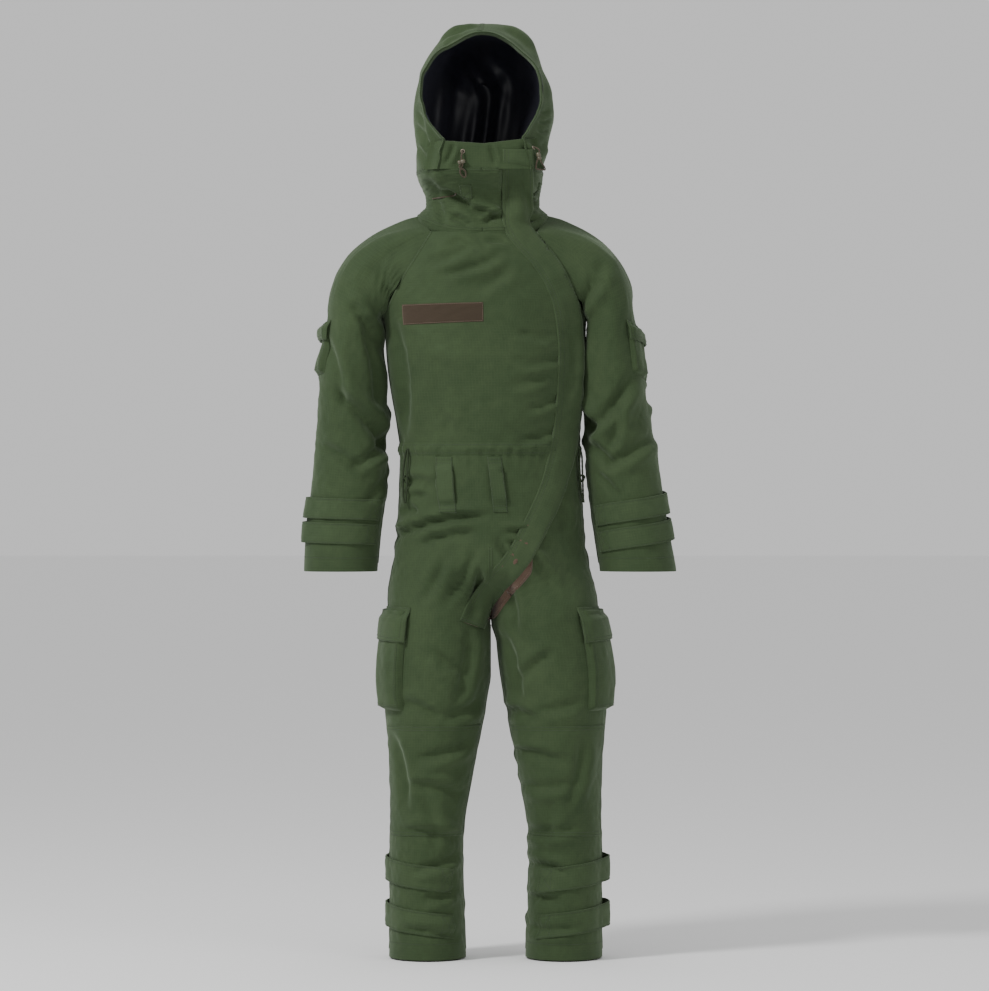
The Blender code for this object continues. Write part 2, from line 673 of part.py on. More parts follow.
# slider: rides on the straight run of the zip inside the collar
SLIDER_Z, SLIDER_W, SLIDER_H = 0.100, 0.0090, 0.0120
slider_at = around(COLLAR, collar_zip_phi, SLIDER_Z, TAPE_OFF + TAPE_THICK)
across = around(COLLAR, collar_zip_phi + 0.05, SLIDER_Z, 0.0) - around(
    COLLAR, collar_zip_phi - 0.05, SLIDER_Z, 0.0)
across.normalize()
out = Vector((across.y, -across.x, 0.0))
SLIDER_OUTLINE = [
    # across, up, in the plane of the zip: body and hanging pull in one piece
    (-0.5, 0.5), (-0.5, -0.35), (-0.22, -0.5), (-0.22, -1.6), (0.22, -1.6),
    (0.22, -0.5), (0.5, -0.35), (0.5, 0.5),
]
SLIDER_BACK, SLIDER_FRONT = 0.0005, 0.0042
verts = []
for depth in (SLIDER_BACK, SLIDER_FRONT):
    for u, v in SLIDER_OUTLINE:
        verts.append(slider_at + across * (u * SLIDER_W) + out * depth
                     + Vector((0.0, 0.0, v * SLIDER_H)))
n = len(SLIDER_OUTLINE)
faces = [tuple(range(n)), tuple(range(n, 2 * n))[::-1]]
faces += [((i + 1) % n, i, n + i, n + (i + 1) % n) for i in range(n)]
outward(link("zip_slider", verts, faces, brass, slider_at))

# ---- chest panel, belt loops, waist cords -----------------------------------
NAME_X, NAME_Z = (-0.166, -0.011), (-0.175, -0.133)
NAME_OFF, NAME_SIDE = 0.0032, 0.049    # clearance of its flat faces; outer facets
outline = []
for o in (NAME_OFF, NAME_OFF + TRIM):
    line = []
    for x in (NAME_X[0], NAME_X[0] + NAME_SIDE, NAME_X[1] - NAME_SIDE, NAME_X[1]):
        spots = [around(TORSO, phi_of_x(TORSO, x, z, o), z, o) for z in (*NAME_Z, -0.155)]
        line.append((x, min(p.y for p in spots)))
    outline.append(line)
prism("name_panel", outline[0] + outline[1][::-1], NAME_Z[0], NAME_Z[1], brown)

LOOP_X = {"left": 0.015, "right": -0.078}
LOOP_Z, LOOP_W, LOOP_STAND = (-0.427, -0.533), 0.0125, 0.0150


def loop_point(x, z, off):
    return around(TORSO, phi_of_x(TORSO, x, z), z, off)


for side, _sign in SIDES:
    x = LOOP_X[side]
    z1, z0 = LOOP_Z
    path = [(z1, LAYER), (z1, LOOP_STAND), (z0, LOOP_STAND), (z0, LAYER),
            (z0 + 0.012, LAYER), (z0 + 0.012, LOOP_STAND - TRIM),
            (z1 - 0.012, LOOP_STAND - TRIM), (z1 - 0.012, LAYER)]
    verts = []
    for dx in (-LOOP_W, LOOP_W):
        for z, off in path:
            verts.append(loop_point(x + dx, z, off))
    n = len(path)
    faces = [tuple(range(n)), tuple(range(n, 2 * n))[::-1]]
    faces += [((i + 1) % n, i, n + i, n + (i + 1) % n) for i in range(n)]
    outward(link("belt_loop_" + side, verts, faces, green_light))

CORD_R = 0.0020
CORD_LIFT = LAYER + 0.0045 + CORD_R + 0.0006      # clear of the waist channel
WAIST_CORD_PHI = {"left": 72, "right": 60}
CORD_LOOP = [(0, -0.410), (0, -0.428), (1, -0.470), (3, -0.505), (5, -0.514),
             (7, -0.500), (8, -0.455), (8, -0.424)]
for side, sign in SIDES:
    points = [around(TORSO, sign * RAD(WAIST_CORD_PHI[side] + turn), z, CORD_LIFT)
              for turn, z in CORD_LOOP]
    tube_along("waist_cord_" + side, points, CORD_R, cord_mat)

# ---- hood -------------------------------------------------------------------
HOOD_CX, HOOD_A = -0.0125, 0.1320
HOOD_FRONT, HOOD_MID, HOOD_BACK = -0.095, 0.030, 0.155
HOOD_ZC, HOOD_H = 0.262, 0.147
HOOD_POWER = 0.80                     # below 1 makes the arch squarer
LINING_OFF = 0.0012


def hood_grid(sign, off, rows_up=4, rows_arch=7, rows_deep=(3, 7)):
    """Grid over one half: bottom edge up the side and over to the centre seam."""
    grid = []
    depth = [(HOOD_FRONT + (HOOD_MID - HOOD_FRONT) * i / rows_deep[0], 0.0)
             for i in range(rows_deep[0])]
    depth += [(HOOD_MID, HALF_PI * i / rows_deep[1]) for i in range(rows_deep[1] + 1)]
    for y0, psi in depth:
        last = psi > HALF_PI - 1e-6
        y = y0 + (HOOD_BACK - HOOD_MID + off) * math.sin(psi)
        gx = math.cos(psi)
        gz = max(math.cos(psi) ** 0.85, 0.12)
        line = []
        for i in range(rows_up):
            z = HOOD_BASE + (HOOD_ZC - HOOD_BASE) * i / rows_up
            x = SEAM / 2 if last else max((HOOD_A + off) * gx, SEAM / 2)
            line.append((x, y, z))
        for i in range(rows_arch + 1):
            theta = HALF_PI * (1.0 - i / rows_arch)
            x = (HOOD_A + off) * gx * math.sin(theta) ** HOOD_POWER
            z = HOOD_ZC + (HOOD_H + off) * gz * math.cos(theta) ** HOOD_POWER
            if last or i == rows_arch:
                x = SEAM / 2
            line.append((max(x, SEAM / 2), y, z))
        grid.append([Vector((HOOD_CX + sign * x, yy, z)) for x, yy, z in line])
    return grid


for side, sign in SIDES:
    shell("hood_shell_" + side, hood_grid(sign, 0.0), hood_grid(sign, -0.0030), green,
          origin=HOOD_PIVOT)
    shell("hood_lining_" + side, hood_grid(sign, -0.0030 - LINING_OFF),
          hood_grid(sign, -0.0030 - LINING_OFF - 0.0020), satin, origin=HOOD_PIVOT)

CHIN_TOP, CHIN_BULGE = 0.1670, 0.036
CHIN = [(0.30, HOOD_CX, HOOD_FRONT - SEAM, HOOD_A - 0.001, CHIN_BULGE),
        (0.00, HOOD_CX, HOOD_FRONT - SEAM, HOOD_A - 0.001, CHIN_BULGE)]
band("chin_guard", CHIN, spread(-RAD(89), RAD(89), 16), CHIN_TOP, HOOD_BASE, -0.0030, 0.0,
     2, green, origin=HOOD_PIVOT)

# drawcords with spring cord locks, one each side of the chin
CORD_X = {"left": 0.090, "right": -0.050}
CORD_TOP = {"left": 0.1620, "right": 0.1500}
LOCK_Z = {"left": 0.1450, "right": 0.1330}
LOCK_R, LOCK_BORE, LOCK_H = 0.0062, 0.0024, 0.0150
CORD_STAND = LOCK_R + 0.0012
for side, sign in SIDES:
    phi = phi_of_x(CHIN, CORD_X[side], 0.15)
    at = around(CHIN, phi, LOCK_Z[side], CORD_STAND)
    top_in = around(CHIN, phi, CORD_TOP[side], CORD_R + 0.0004)
    points = [top_in + Vector((0.0, 0.0, 0.0035)), top_in,
              at + Vector((0.0, 0.0, CORD_TOP[side] - LOCK_Z[side] - 0.004)),
              at, at - Vector((0.0, 0.0, 0.022)), at - Vector((0.0, 0.0, 0.034))]
    tube_along("hood_cord_" + side, points, CORD_R, cord_mat, sides=10,
               origin=HOOD_PIVOT)
    verts, faces = [], []
    sides = 16
    for r in (LOCK_R, LOCK_BORE):
        for dz in (-LOCK_H / 2, LOCK_H / 2):
            for k in range(sides):
                turn = math.tau * k / sides
                verts.append(at + Vector((r * math.cos(turn), r * math.sin(turn), dz)))
    for k in range(sides):
        m = (k + 1) % sides
        ob, ot, ib, it = (base + k for base in (0, sides, 2 * sides, 3 * sides))
        ob2, ot2, ib2, it2 = (base + m for base in (0, sides, 2 * sides, 3 * sides))
        faces += [(ob, ob2, ot2, ot), (ib2, ib, it, it2), (ob2, ob, ib, ib2),
                  (ot, ot2, it2, it)]
    outward(link("cord_lock_" + side, verts, faces, plastic, at))

TAB_X, TAB_Z = {"left": 0.0915, "right": -0.040}, {"left": 0.100, "right": 0.092}
TAB_TURN, TAB_H, TAB_THICK = 0.085, 0.026, 0.0024
for side, _sign in SIDES:
    phi = phi_of_x(COLLAR, TAB_X[side], TAB_Z[side])
    band("cord_tab_" + side, COLLAR, spread(phi - TAB_TURN, phi + TAB_TURN, 3),
         TAB_Z[side], TAB_Z[side] - TAB_H, LAYER, LAYER + TAB_THICK, 1, green_light)
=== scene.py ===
"""Looks of the hooded protective coverall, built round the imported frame.

Metres, +Z up, front towards -Y, wearer's left towards +X. Sections, edges and
joint centres are read off the frame's nodes; cloth is lofted through them,
creased, settled by a short cloth simulation and then sewn up with seams.
"""
import json
import math

import bpy
import numpy as np
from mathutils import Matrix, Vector
from mathutils.bvhtree import BVHTree


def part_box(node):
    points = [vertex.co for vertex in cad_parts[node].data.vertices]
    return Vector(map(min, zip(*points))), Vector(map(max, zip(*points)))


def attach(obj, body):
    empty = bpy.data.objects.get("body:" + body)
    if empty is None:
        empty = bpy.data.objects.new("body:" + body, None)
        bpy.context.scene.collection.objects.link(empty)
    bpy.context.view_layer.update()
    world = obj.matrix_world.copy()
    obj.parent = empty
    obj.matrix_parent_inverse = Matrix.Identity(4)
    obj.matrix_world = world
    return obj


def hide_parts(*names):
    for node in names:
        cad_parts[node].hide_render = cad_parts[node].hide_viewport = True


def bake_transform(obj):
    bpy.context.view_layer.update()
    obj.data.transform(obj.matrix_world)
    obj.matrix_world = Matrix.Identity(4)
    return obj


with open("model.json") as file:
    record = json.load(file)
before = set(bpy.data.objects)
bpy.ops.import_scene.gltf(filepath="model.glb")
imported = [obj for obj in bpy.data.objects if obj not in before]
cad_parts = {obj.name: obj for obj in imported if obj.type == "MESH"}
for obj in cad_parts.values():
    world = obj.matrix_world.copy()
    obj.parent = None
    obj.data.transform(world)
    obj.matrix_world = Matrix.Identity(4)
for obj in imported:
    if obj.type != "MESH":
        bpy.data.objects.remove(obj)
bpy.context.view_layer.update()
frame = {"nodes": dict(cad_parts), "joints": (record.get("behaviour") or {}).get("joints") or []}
NODES = frame["nodes"]
PIVOT = {j["name"]: j.get("pos_m") for j in frame["joints"]}
SIDES = (("left", 1.0), ("right", -1.0))
TAU = math.tau
MIRROR = [1, -1, 1]    # swaps front and back

# ---- lengths ----------------------------------------------------------------
FINER = 2             # the finished cloth is this many times finer
STITCH, STITCH_GAP, THREAD = 0.0030, 0.0014, 0.00042
SEAM_HALF, SEAM_LIFT = 0.0048, 0.0011      # half width and height of a felled seam
HEM_IN, HEM_DEEP = 0.0028, 0.030      # how far in and how deep a hem is turned
FOLD_GAIN = 2.3       # deepens every drawn fold


# ---- reading the frame ------------------------------------------------------
def triangles(names):
    out = []
    for name in names:
        me = NODES[name].data
        co = np.empty(len(me.vertices) * 3)
        me.vertices.foreach_get("co", co)
        me.calc_loop_triangles()
        tri = np.empty(len(me.loop_triangles) * 3, int)
        me.loop_triangles.foreach_get("vertices", tri)
        out.append(co.reshape(-1, 3)[tri.reshape(-1, 3)])
    return np.concatenate(out)


def slice_at(tris, z):
    """Points where the triangles' edges cross a height."""
    out = []
    for a, b in ((0, 1), (1, 2), (2, 0)):
        za, zb = tris[:, a, 2] - z, tris[:, b, 2] - z
        hit = za * zb < 0
        t = za[hit] / (za[hit] - zb[hit])
        out.append(tris[hit, a] + (tris[hit, b] - tris[hit, a]) * t[:, None])
    return np.concatenate(out)[:, :2]


def ellipse(points):
    """Centre and half sizes of the ellipse through the outermost points."""
    mid = (points.max(0) + points.min(0)) / 2
    rel = points - mid
    place = (np.arctan2(rel[:, 0], -rel[:, 1]) / math.pi * 36).astype(int)
    far = np.hypot(rel[:, 0], rel[:, 1])
    keep = [np.where(place == k)[0][far[place == k].argmax()] for k in np.unique(place)]
    x, y = points[keep].T
    p, q, r, s = np.linalg.lstsq(np.c_[x * x, x, y * y, y], np.ones(len(keep)),
                                 rcond=None)[0]
    cx, cy = -q / (2 * p), -s / (2 * r)
    k = 1 + p * cx * cx + r * cy * cy
    return cx, cy, math.sqrt(k / p), math.sqrt(k / r)


class Table:
    """Numbers against height, read off the frame and smoothed."""

    def __init__(self, heights, rows, blur=0.012):
        order = np.argsort(heights)
        h, rows = np.asarray(heights, float)[order], np.asarray(rows, float)[order]
        self.z = np.arange(h[0], h[-1] + 0.001, 0.002)
        raw = np.stack([np.interp(self.z, h, c) for c in rows.T], 1)
        n = int(3 * blur / 0.002)
        kernel = np.exp(-0.5 * (np.arange(-n, n + 1) * 0.002 / blur) ** 2)
        kernel /= kernel.sum()
        low = raw[0] + (raw[0] - raw[1:n + 1])[::-1]
        high = raw[-1] + (raw[-1] - raw[-n - 1:-1])[::-1]
        full = np.concatenate([low, raw, high])
        self.v = np.stack([np.convolve(c, kernel, "valid") for c in full.T], 1)

    def __call__(self, z):
        z = np.asarray(z, float)
        return [np.interp(z, self.z, c) for c in self.v.T]


def sections(names, heights):
    tris = triangles(names)
    return Table(heights, [ellipse(slice_at(tris, z)) for z in heights])


def extreme(name, z, way):
    p = slice_at(triangles([name]), z)
    return way * (way * p[:, 0]).max()


WAIST_Z = sum(v.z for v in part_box("waist_channel")) / 2
NECK_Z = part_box("collar")[0].z
HOOD_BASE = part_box("chin_guard")[0].z
HEM_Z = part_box("shin_left")[0].z
CUFF_Z = {s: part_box("lower_sleeve_" + s)[0].z for s, _ in SIDES}
ARMPIT_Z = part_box("shoulder_left")[0].z
CHEST = ["front_panel_right", "front_panel_left", "back_panel"]
HIPS = ["lower_front_right", "lower_front_left", "seat_panel"]
upper = [NECK_Z - 0.004 - 0.0131 * k for k in range(12)] + [
    -0.172, -0.20, -0.24, -0.28, -0.33, -0.37, -0.405]
lower = [-0.42, -0.46, -0.50, -0.54, -0.58, -0.62, -0.655, -0.685]
rows = [ellipse(slice_at(triangles(CHEST), z)) for z in upper]
rows += [ellipse(slice_at(triangles(HIPS), z)) for z in lower]
body_at = Table(upper + lower + [-0.76], rows + [rows[-1]], 0.016)
collar_at = sections(["collar"], [0.012, 0.03, 0.05, 0.07, 0.09, 0.11])
leg_at = {s: sections(["thigh_" + s, "shin_" + s],
                      [-0.725, -0.76, -0.80, -0.84, -0.88, -0.92, -0.96, -1.00, -1.04,
                       -1.11, -1.15, -1.20, -1.25, -1.30, -1.35, -1.385])
          for s, _ in SIDES}
arm_at = {s: sections(["upper_sleeve_" + s, "lower_sleeve_" + s],
                      [-0.17, -0.20, -0.24, -0.28, -0.32, -0.36, -0.41, -0.45, -0.50,
                       -0.55, -0.60, -0.642]) for s, _ in SIDES}
seam_heights = [ARMPIT_Z - 0.002, -0.145, -0.13, -0.11, -0.09, -0.07, -0.05, -0.03, -0.012,
                0.004]
raglan_x = {side: Table(seam_heights, [[extreme("front_panel_" + side, z, sign)]
                                       for z in seam_heights], 0.008)
            for side, sign in SIDES}
tape = triangles(["zip_tape"])
tape_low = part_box("zip_tape")[0].z
zip_heights = [0.10, 0.06, 0.02] + list(np.arange(-0.01, tape_low + 0.006, -0.03))
zip_rows = [[slice_at(tape, z)[:, 0].mean()] for z in zip_heights]
zip_at = Table(zip_heights, zip_rows, 0.014)


def zip_x(z):
    """Middle line of the zip; it runs on below the tape's end in the same sweep."""
    z = np.asarray(z, float)
    end = tape_low + 0.012
    slope = (zip_at(end)[0] - zip_at(end + 0.02)[0]) / 0.02
    past = np.maximum(end - z, 0.0)
    return zip_at(np.maximum(z, end))[0] + slope * past + 3.0 * past ** 2


def tube(at, phi, z, off=0.0):
    cx, cy, a, b = at(z)
    return np.stack([cx + (a + off) * np.sin(phi), cy - (b + off) * np.cos(phi),
                     z + 0 * phi], -1)


def phi_of(at, x, z):
    cx, _cy, a, _b = at(z)
    return np.arcsin(np.clip((x - cx) / a, -0.999, 0.999))


# ---- grids of cloth ---------------------------------------------------------
def along_rows(values, width):
    """Gaussian blur down the rows."""
    k = np.exp(-0.5 * (np.arange(-3 * width, 3 * width + 1) / width) ** 2)
    k /= k.sum()
    pad = np.concatenate([np.repeat(values[:1], 3 * width, 0), values,
                          np.repeat(values[-1:], 3 * width, 0)])
    flat = pad.reshape(len(pad), -1)
    out = np.stack([np.convolve(c, k, "valid") for c in flat.T], 1)
    return out.reshape(values.shape)


def bump01(z, mid, width):
    return np.exp(-((np.asarray(z, float) - mid) / width) ** 2)


def smooth01(t):
    t = np.clip(t, 0.0, 1.0)
    return t * t * (3 - 2 * t)


def unit(v):
    return v / np.maximum(np.linalg.norm(v, axis=-1, keepdims=True), 1e-9)


def looped(path):
    """The path with its first point again at the end."""
    return np.concatenate([path, path[:1]])


def refined(grid, k, closed):
    def along(g, wrap):
        pad = (np.concatenate([g[-1:], g, g[:2]]) if wrap else
               np.concatenate([2 * g[:1] - g[1:2], g, 2 * g[-1:] - g[-2:-1]]))
        out = []
        for s in range(len(g) if wrap else len(g) - 1):
            p0, p1, p2, p3 = pad[s:s + 4]
            for i in range(k):
                t = i / k
                out.append(0.5 * (2 * p1 + (p2 - p0) * t + (2 * p0 - 5 * p1 + 4 * p2 - p3)
                                  * t * t + (3 * p1 - p0 - 3 * p2 + p3) * t ** 3))
        if not wrap:
            out.append(g[-1])
        return np.array(out)
    return along(along(grid, False).swapaxes(0, 1), closed).swapaxes(0, 1)


def normals_of(grid, closed):
    if closed:
        across = np.roll(grid, -1, 1) - np.roll(grid, 1, 1)
    else:
        across = np.gradient(grid, axis=1)
    return unit(np.cross(np.gradient(grid, axis=0), across))


def quads(rows, cols, closed):
    i, j = np.meshgrid(np.arange(rows - 1), np.arange(cols if closed else cols - 1),
                       indexing="ij")
    i, j = i.ravel(), j.ravel()
    k = (j + 1) % cols
    return np.stack([i * cols + j, (i + 1) * cols + j, (i + 1) * cols + k, i * cols + k], 1)


def creases(grid, normal, folds, box):
    """Adds soft folds: each is two ends as shares of a box, a width and a depth."""
    (x0, z0), (x1, z1) = box
    p = grid[..., [0, 2]]
    out = np.zeros(grid.shape[:2])
    for u0, v0, u1, v1, width, depth in folds:
        a = np.array([x0 + (x1 - x0) * u0, z1 + (z0 - z1) * v0])
        b = np.array([x0 + (x1 - x0) * u1, z1 + (z0 - z1) * v1])
        d = b - a
        length = np.hypot(*d)
        t = ((p - a) @ d) / length ** 2
        side = ((p - a) @ np.array([-d[1], d[0]])) / length
        bend = side + 0.12 * length * (np.clip(t, 0, 1) - 0.5) ** 2 * 2
        taper = smooth01((t + 0.15) / 0.4) * smooth01((1.15 - t) / 0.4)
        out += taper * depth * (0.75 * np.exp(-((bend - 1.3 * width) / width) ** 2)
                                - np.exp(-(bend / (0.8 * width)) ** 2))
    facing = smooth01((-normal[..., 1] + 0.25) / 0.5)
    return grid + normal * (FOLD_GAIN * out * facing)[..., None]


def back_creases(grid, normal, folds, box):
    """Folds on the back of a garment, which creases alone would pass over."""
    return creases(grid * MIRROR, normal * MIRROR, folds, box) * MIRROR


def settle(grid, closed, pin, grow, frames=16, cap=0.008, bend=0.08, seed=1):
    """A short cloth simulation with a little too much cloth; pin is 0..1 a vertex."""
    n_rows, n_cols = grid.shape[:2]
    me = bpy.data.meshes.new("settling")
    noise = np.random.default_rng(seed).normal(0, 0.00035, grid.shape)
    start = grid + noise * (1 - pin)[..., None]
    me.from_pydata(start.reshape(-1, 3).tolist(), [],
                   quads(n_rows, n_cols, closed).tolist())
    ob = bpy.data.objects.new("settling", me)
    bpy.context.scene.collection.objects.link(ob)
    held = ob.vertex_groups.new(name="held")
    loose = ob.vertex_groups.new(name="loose")
    flat_pin, flat_grow = pin.ravel(), grow.ravel() / max(grow.max(), 1e-6)
    for level in np.unique(np.round(flat_pin, 1)):
        at = np.where(np.round(flat_pin, 1) == level)[0]
        held.add(at.tolist(), float(level), "REPLACE")
    for level in np.unique(np.round(flat_grow, 1)):
        at = np.where(np.round(flat_grow, 1) == level)[0]
        loose.add(at.tolist(), float(level), "REPLACE")
    mod = ob.modifiers.new("cloth", "CLOTH")
    s = mod.settings
    s.quality, s.mass, s.air_damping = 5, 0.2, 2.0
    s.tension_stiffness = s.compression_stiffness = 30
    s.shear_stiffness, s.bending_stiffness = 6, bend
    s.vertex_group_mass = "held"
    s.vertex_group_shrink = "loose"
    s.shrink_min, s.shrink_max = 0.0, -float(grow.max())
    s.effector_weights.gravity = 0
    mod.collision_settings.use_collision = False
    mod.collision_settings.use_self_collision = False
    mod.point_cache.frame_start, mod.point_cache.frame_end = 1, frames + 1
    for f in range(1, frames + 1):
        bpy.context.scene.frame_set(f)
    cooked = ob.evaluated_get(bpy.context.evaluated_depsgraph_get()).data
    co = np.empty(len(me.vertices) * 3)
    cooked.vertices.foreach_get("co", co)
    bpy.data.objects.remove(ob)
    bpy.data.meshes.remove(me)
    bpy.context.scene.frame_set(1)
    move = co.reshape(grid.shape) - grid
    far = np.linalg.norm(move, axis=2, keepdims=True)
    return grid + move * np.tanh(far / cap) * cap / np.maximum(far, 1e-9)


# ---- meshes -----------------------------------------------------------------
def build(name, verts, faces, cloth, uv=None, normals=None):
    """One piece; cloth is its material and the name of a slot, which is not used."""
    mat, slot = cloth
    me = bpy.data.meshes.new(name)
    me.from_pydata(np.asarray(verts, float).tolist(), [],
                   [tuple(int(i) for i in f) for f in faces])
    me.materials.append(mat)
    me.polygons.foreach_set("use_smooth", [True] * len(me.polygons))
    if uv is not None:
        me.uv_layers.new(name="weave").data.foreach_set(
            "uv", np.asarray(uv, np.float32).ravel())
    me.update()
    if normals is not None:
        me.normals_split_custom_set_from_vertices(np.asarray(normals).tolist())
    ob = bpy.data.objects.new(name, me)
    bpy.context.scene.collection.objects.link(ob)
    return ob


def hold(ob, zone):
    """zone is a body's name, or the two bodies with the start and end of a blend; such a piece
    is not blended, only baked in place.
    """
    if isinstance(zone, str):
        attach(ob, zone)
    else:
        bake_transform(ob)
    return ob


def emit(name, verts, faces, uv, cloth, zones, normals=None, replaces=()):
    """Cuts a mesh at its zones' heights and makes one piece of each zone."""
    verts, faces, uv = np.asarray(verts, float), np.asarray(faces), np.asarray(uv, float)
    middle = verts[faces][..., 2].mean(1)
    left, out = np.ones(len(faces), bool), []
    for k, (low, zone) in enumerate(zones):
        take = left & (middle >= low) if low is not None else left.copy()
        left &= ~take
        if not take.any():
            continue
        used, index = np.unique(faces[take], return_inverse=True)
        tag = name if len(zones) == 1 else name + "_" + "abc"[k]
        ob = build(tag, verts[used], index.reshape(-1, faces.shape[1]), cloth,
                   uv[take], None if normals is None else normals[used])
        out.append(hold(ob, zone))
    for k, nodes in enumerate(replaces):
        if nodes:
            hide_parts(*nodes)


def grid_uv(grid, closed):
    """Metres along the rows and down the columns, corner by corner."""
    n_rows, n_cols = grid.shape[:2]
    ring = np.concatenate([grid, grid[:, :1]], 1) if closed else grid
    du = np.linalg.norm(np.diff(ring, axis=1), axis=2).mean(0)
    u = np.concatenate([[0], np.cumsum(du)])
    dv = np.linalg.norm(np.diff(grid, axis=0), axis=2).mean(1)
    v = -np.concatenate([[0], np.cumsum(dv)])
    i, j = np.meshgrid(np.arange(n_rows - 1), np.arange(n_cols if closed else n_cols - 1),
                       indexing="ij")
    i, j = i.ravel(), j.ravel()
    return np.stack([np.stack([u[j], v[i]], 1), np.stack([u[j], v[i + 1]], 1),
                     np.stack([u[j + 1], v[i + 1]], 1), np.stack([u[j + 1], v[i]], 1)], 1)


def emit_grid(name, grid, closed, cloth, zones, normals, replaces):
    return emit(name, grid.reshape(-1, 3), quads(*grid.shape[:2], closed),
                grid_uv(grid, closed), cloth, zones, normals.reshape(-1, 3), replaces)


def surface(*grids):
    """A tree to lay trimmings on, from (grid, closed) pairs."""
    verts, faces, base = [], [], 0
    for grid, closed in grids:
        verts.append(grid.reshape(-1, 3))
        faces.append(quads(grid.shape[0], grid.shape[1], closed) + base)
        base += grid.shape[0] * grid.shape[1]
    v, f = np.concatenate(verts), np.concatenate(faces)
    return BVHTree.FromPolygons([Vector(p) for p in v], [tuple(q) for q in f.tolist()])


def nearest(tree, points):
    """Closest surface points and normals."""
    shape = np.shape(points)
    at, n = [], []
    for p in np.reshape(points, (-1, 3)):
        hit, normal, _i, _d = tree.find_nearest(Vector(p))
        at.append(hit)
        n.append(normal)
    return np.array(at).reshape(shape), np.array(n).reshape(shape)


def cast(tree, origins, directions, reach):
    """First hits of rays; a ray that misses takes the point nearest to its aim."""
    shape = np.shape(origins)
    at, n = [], []
    for p, d in zip(np.reshape(origins, (-1, 3)), np.reshape(directions, (-1, 3))):
        hit, normal, _i, _d = tree.ray_cast(Vector(p), Vector(d))
        if hit is None:
            hit, normal, _i, _d = tree.find_nearest(Vector(p) + Vector(d) * reach)
        at.append(hit)
        n.append(normal if normal.dot(Vector(d)) < 0 else -normal)
    return np.array(at).reshape(shape), np.array(n).reshape(shape)


def front_on(tree, x, z):
    x, z = np.broadcast_arrays(np.asarray(x, float), np.asarray(z, float))
    o = np.stack([x, np.full(x.shape, -0.6), z], -1)
    return cast(tree, o, np.broadcast_to([0.0, 1.0, 0.0], o.shape), 0.5)


def limb_on(tree, at, phi, z):
    """Points of a limb's surface at an angle about its own axis."""
    phi, z = np.broadcast_arrays(np.asarray(phi, float), np.asarray(z, float))
    _cx, _cy, a, b = at(z)
    out = unit(np.stack([b * np.sin(phi), -a * np.cos(phi), 0 * phi], -1))
    target = tube(at, phi, z)
    hit, n = cast(tree, target + out * 0.035, -out, 0.035)
    far = np.linalg.norm(hit - target, axis=-1, keepdims=True) > 0.03
    hit = np.where(far, target, hit)
    return hit, unit(np.where(far, out, n) * 0.5 + out * 0.5)


# ---- seams, stitches and sewn-on plates -------------------------------------
threads = {}


def stitch(zone_key, path, normals, colour="green", gap=STITCH_GAP, lift=0.0002):
    """Rows of single stitches along a path that lies on the cloth."""
    path, normals = np.asarray(path), np.asarray(normals)
    d = np.linalg.norm(np.diff(path, axis=0), axis=1)
    s = np.concatenate([[0], np.cumsum(d)])
    count = int(s[-1] / (STITCH + gap))
    if count < 1:
        return
    begin = (np.arange(count) + 0.25) * s[-1] / count
    both = []
    for t in (begin, begin + STITCH * 0.5, begin + STITCH):
        both.append(np.stack([np.interp(t, s, c) for c in path.T], 1))
    n = unit(np.stack([np.interp(begin, s, c) for c in normals.T], 1))
    side = unit(np.cross(both[2] - both[0], n))
    rings = []
    for p, rise, r in ((both[0], lift - THREAD, 0.5), (both[1], lift + THREAD * 0.5, 1.0),
                       (both[2], lift - THREAD, 0.5)):
        c = p + n * rise
        rings.append(np.stack([c + side * THREAD * r, c + n * THREAD * r,
                               c - side * THREAD * r, c - n * THREAD * r], 1))
    v = np.stack(rings, 1).reshape(count, 12, 3)
    f = [[a, b, b + 4, a + 4] for a, b in ((0, 1), (1, 2), (2, 3), (3, 0))]
    f += [[a + 4, b + 4, b + 8, a + 8] for a, b in ((0, 1), (1, 2), (2, 3), (3, 0))]
    f += [[3, 2, 1, 0], [8, 9, 10, 11]]
    f = np.array(f)[None] + 12 * np.arange(count)[:, None, None]
    threads.setdefault((zone_key, colour), []).append((v.reshape(-1, 3), f.reshape(-1, 4)))


def ribbon(name, centre, side, offsets, heights, tree, cloth, zones, replaces=(),
           thick=None, caster=None):
    """A strip laid on the cloth: offsets and heights are its profile across."""
    centre, side = np.asarray(centre), np.asarray(side)
    across = np.atleast_2d(np.asarray(offsets, float))[..., None]
    flat = centre[:, None] + side[:, None] * across
    at, n = caster(flat) if caster else nearest(tree, flat)
    h = np.broadcast_to(np.asarray(heights, float), flat.shape[:2]).copy()
    top = at + n * h[..., None]
    low = np.minimum(-0.0006, h - 0.0004) if thick is None else h - thick
    bottom = at + n * low[..., None]
    verts = np.concatenate([top.reshape(-1, 3), bottom.reshape(-1, 3)])
    faces, uv = shell_faces(top)
    emit(name, verts, faces, uv, cloth, zones, replaces=replaces)
    return at, n


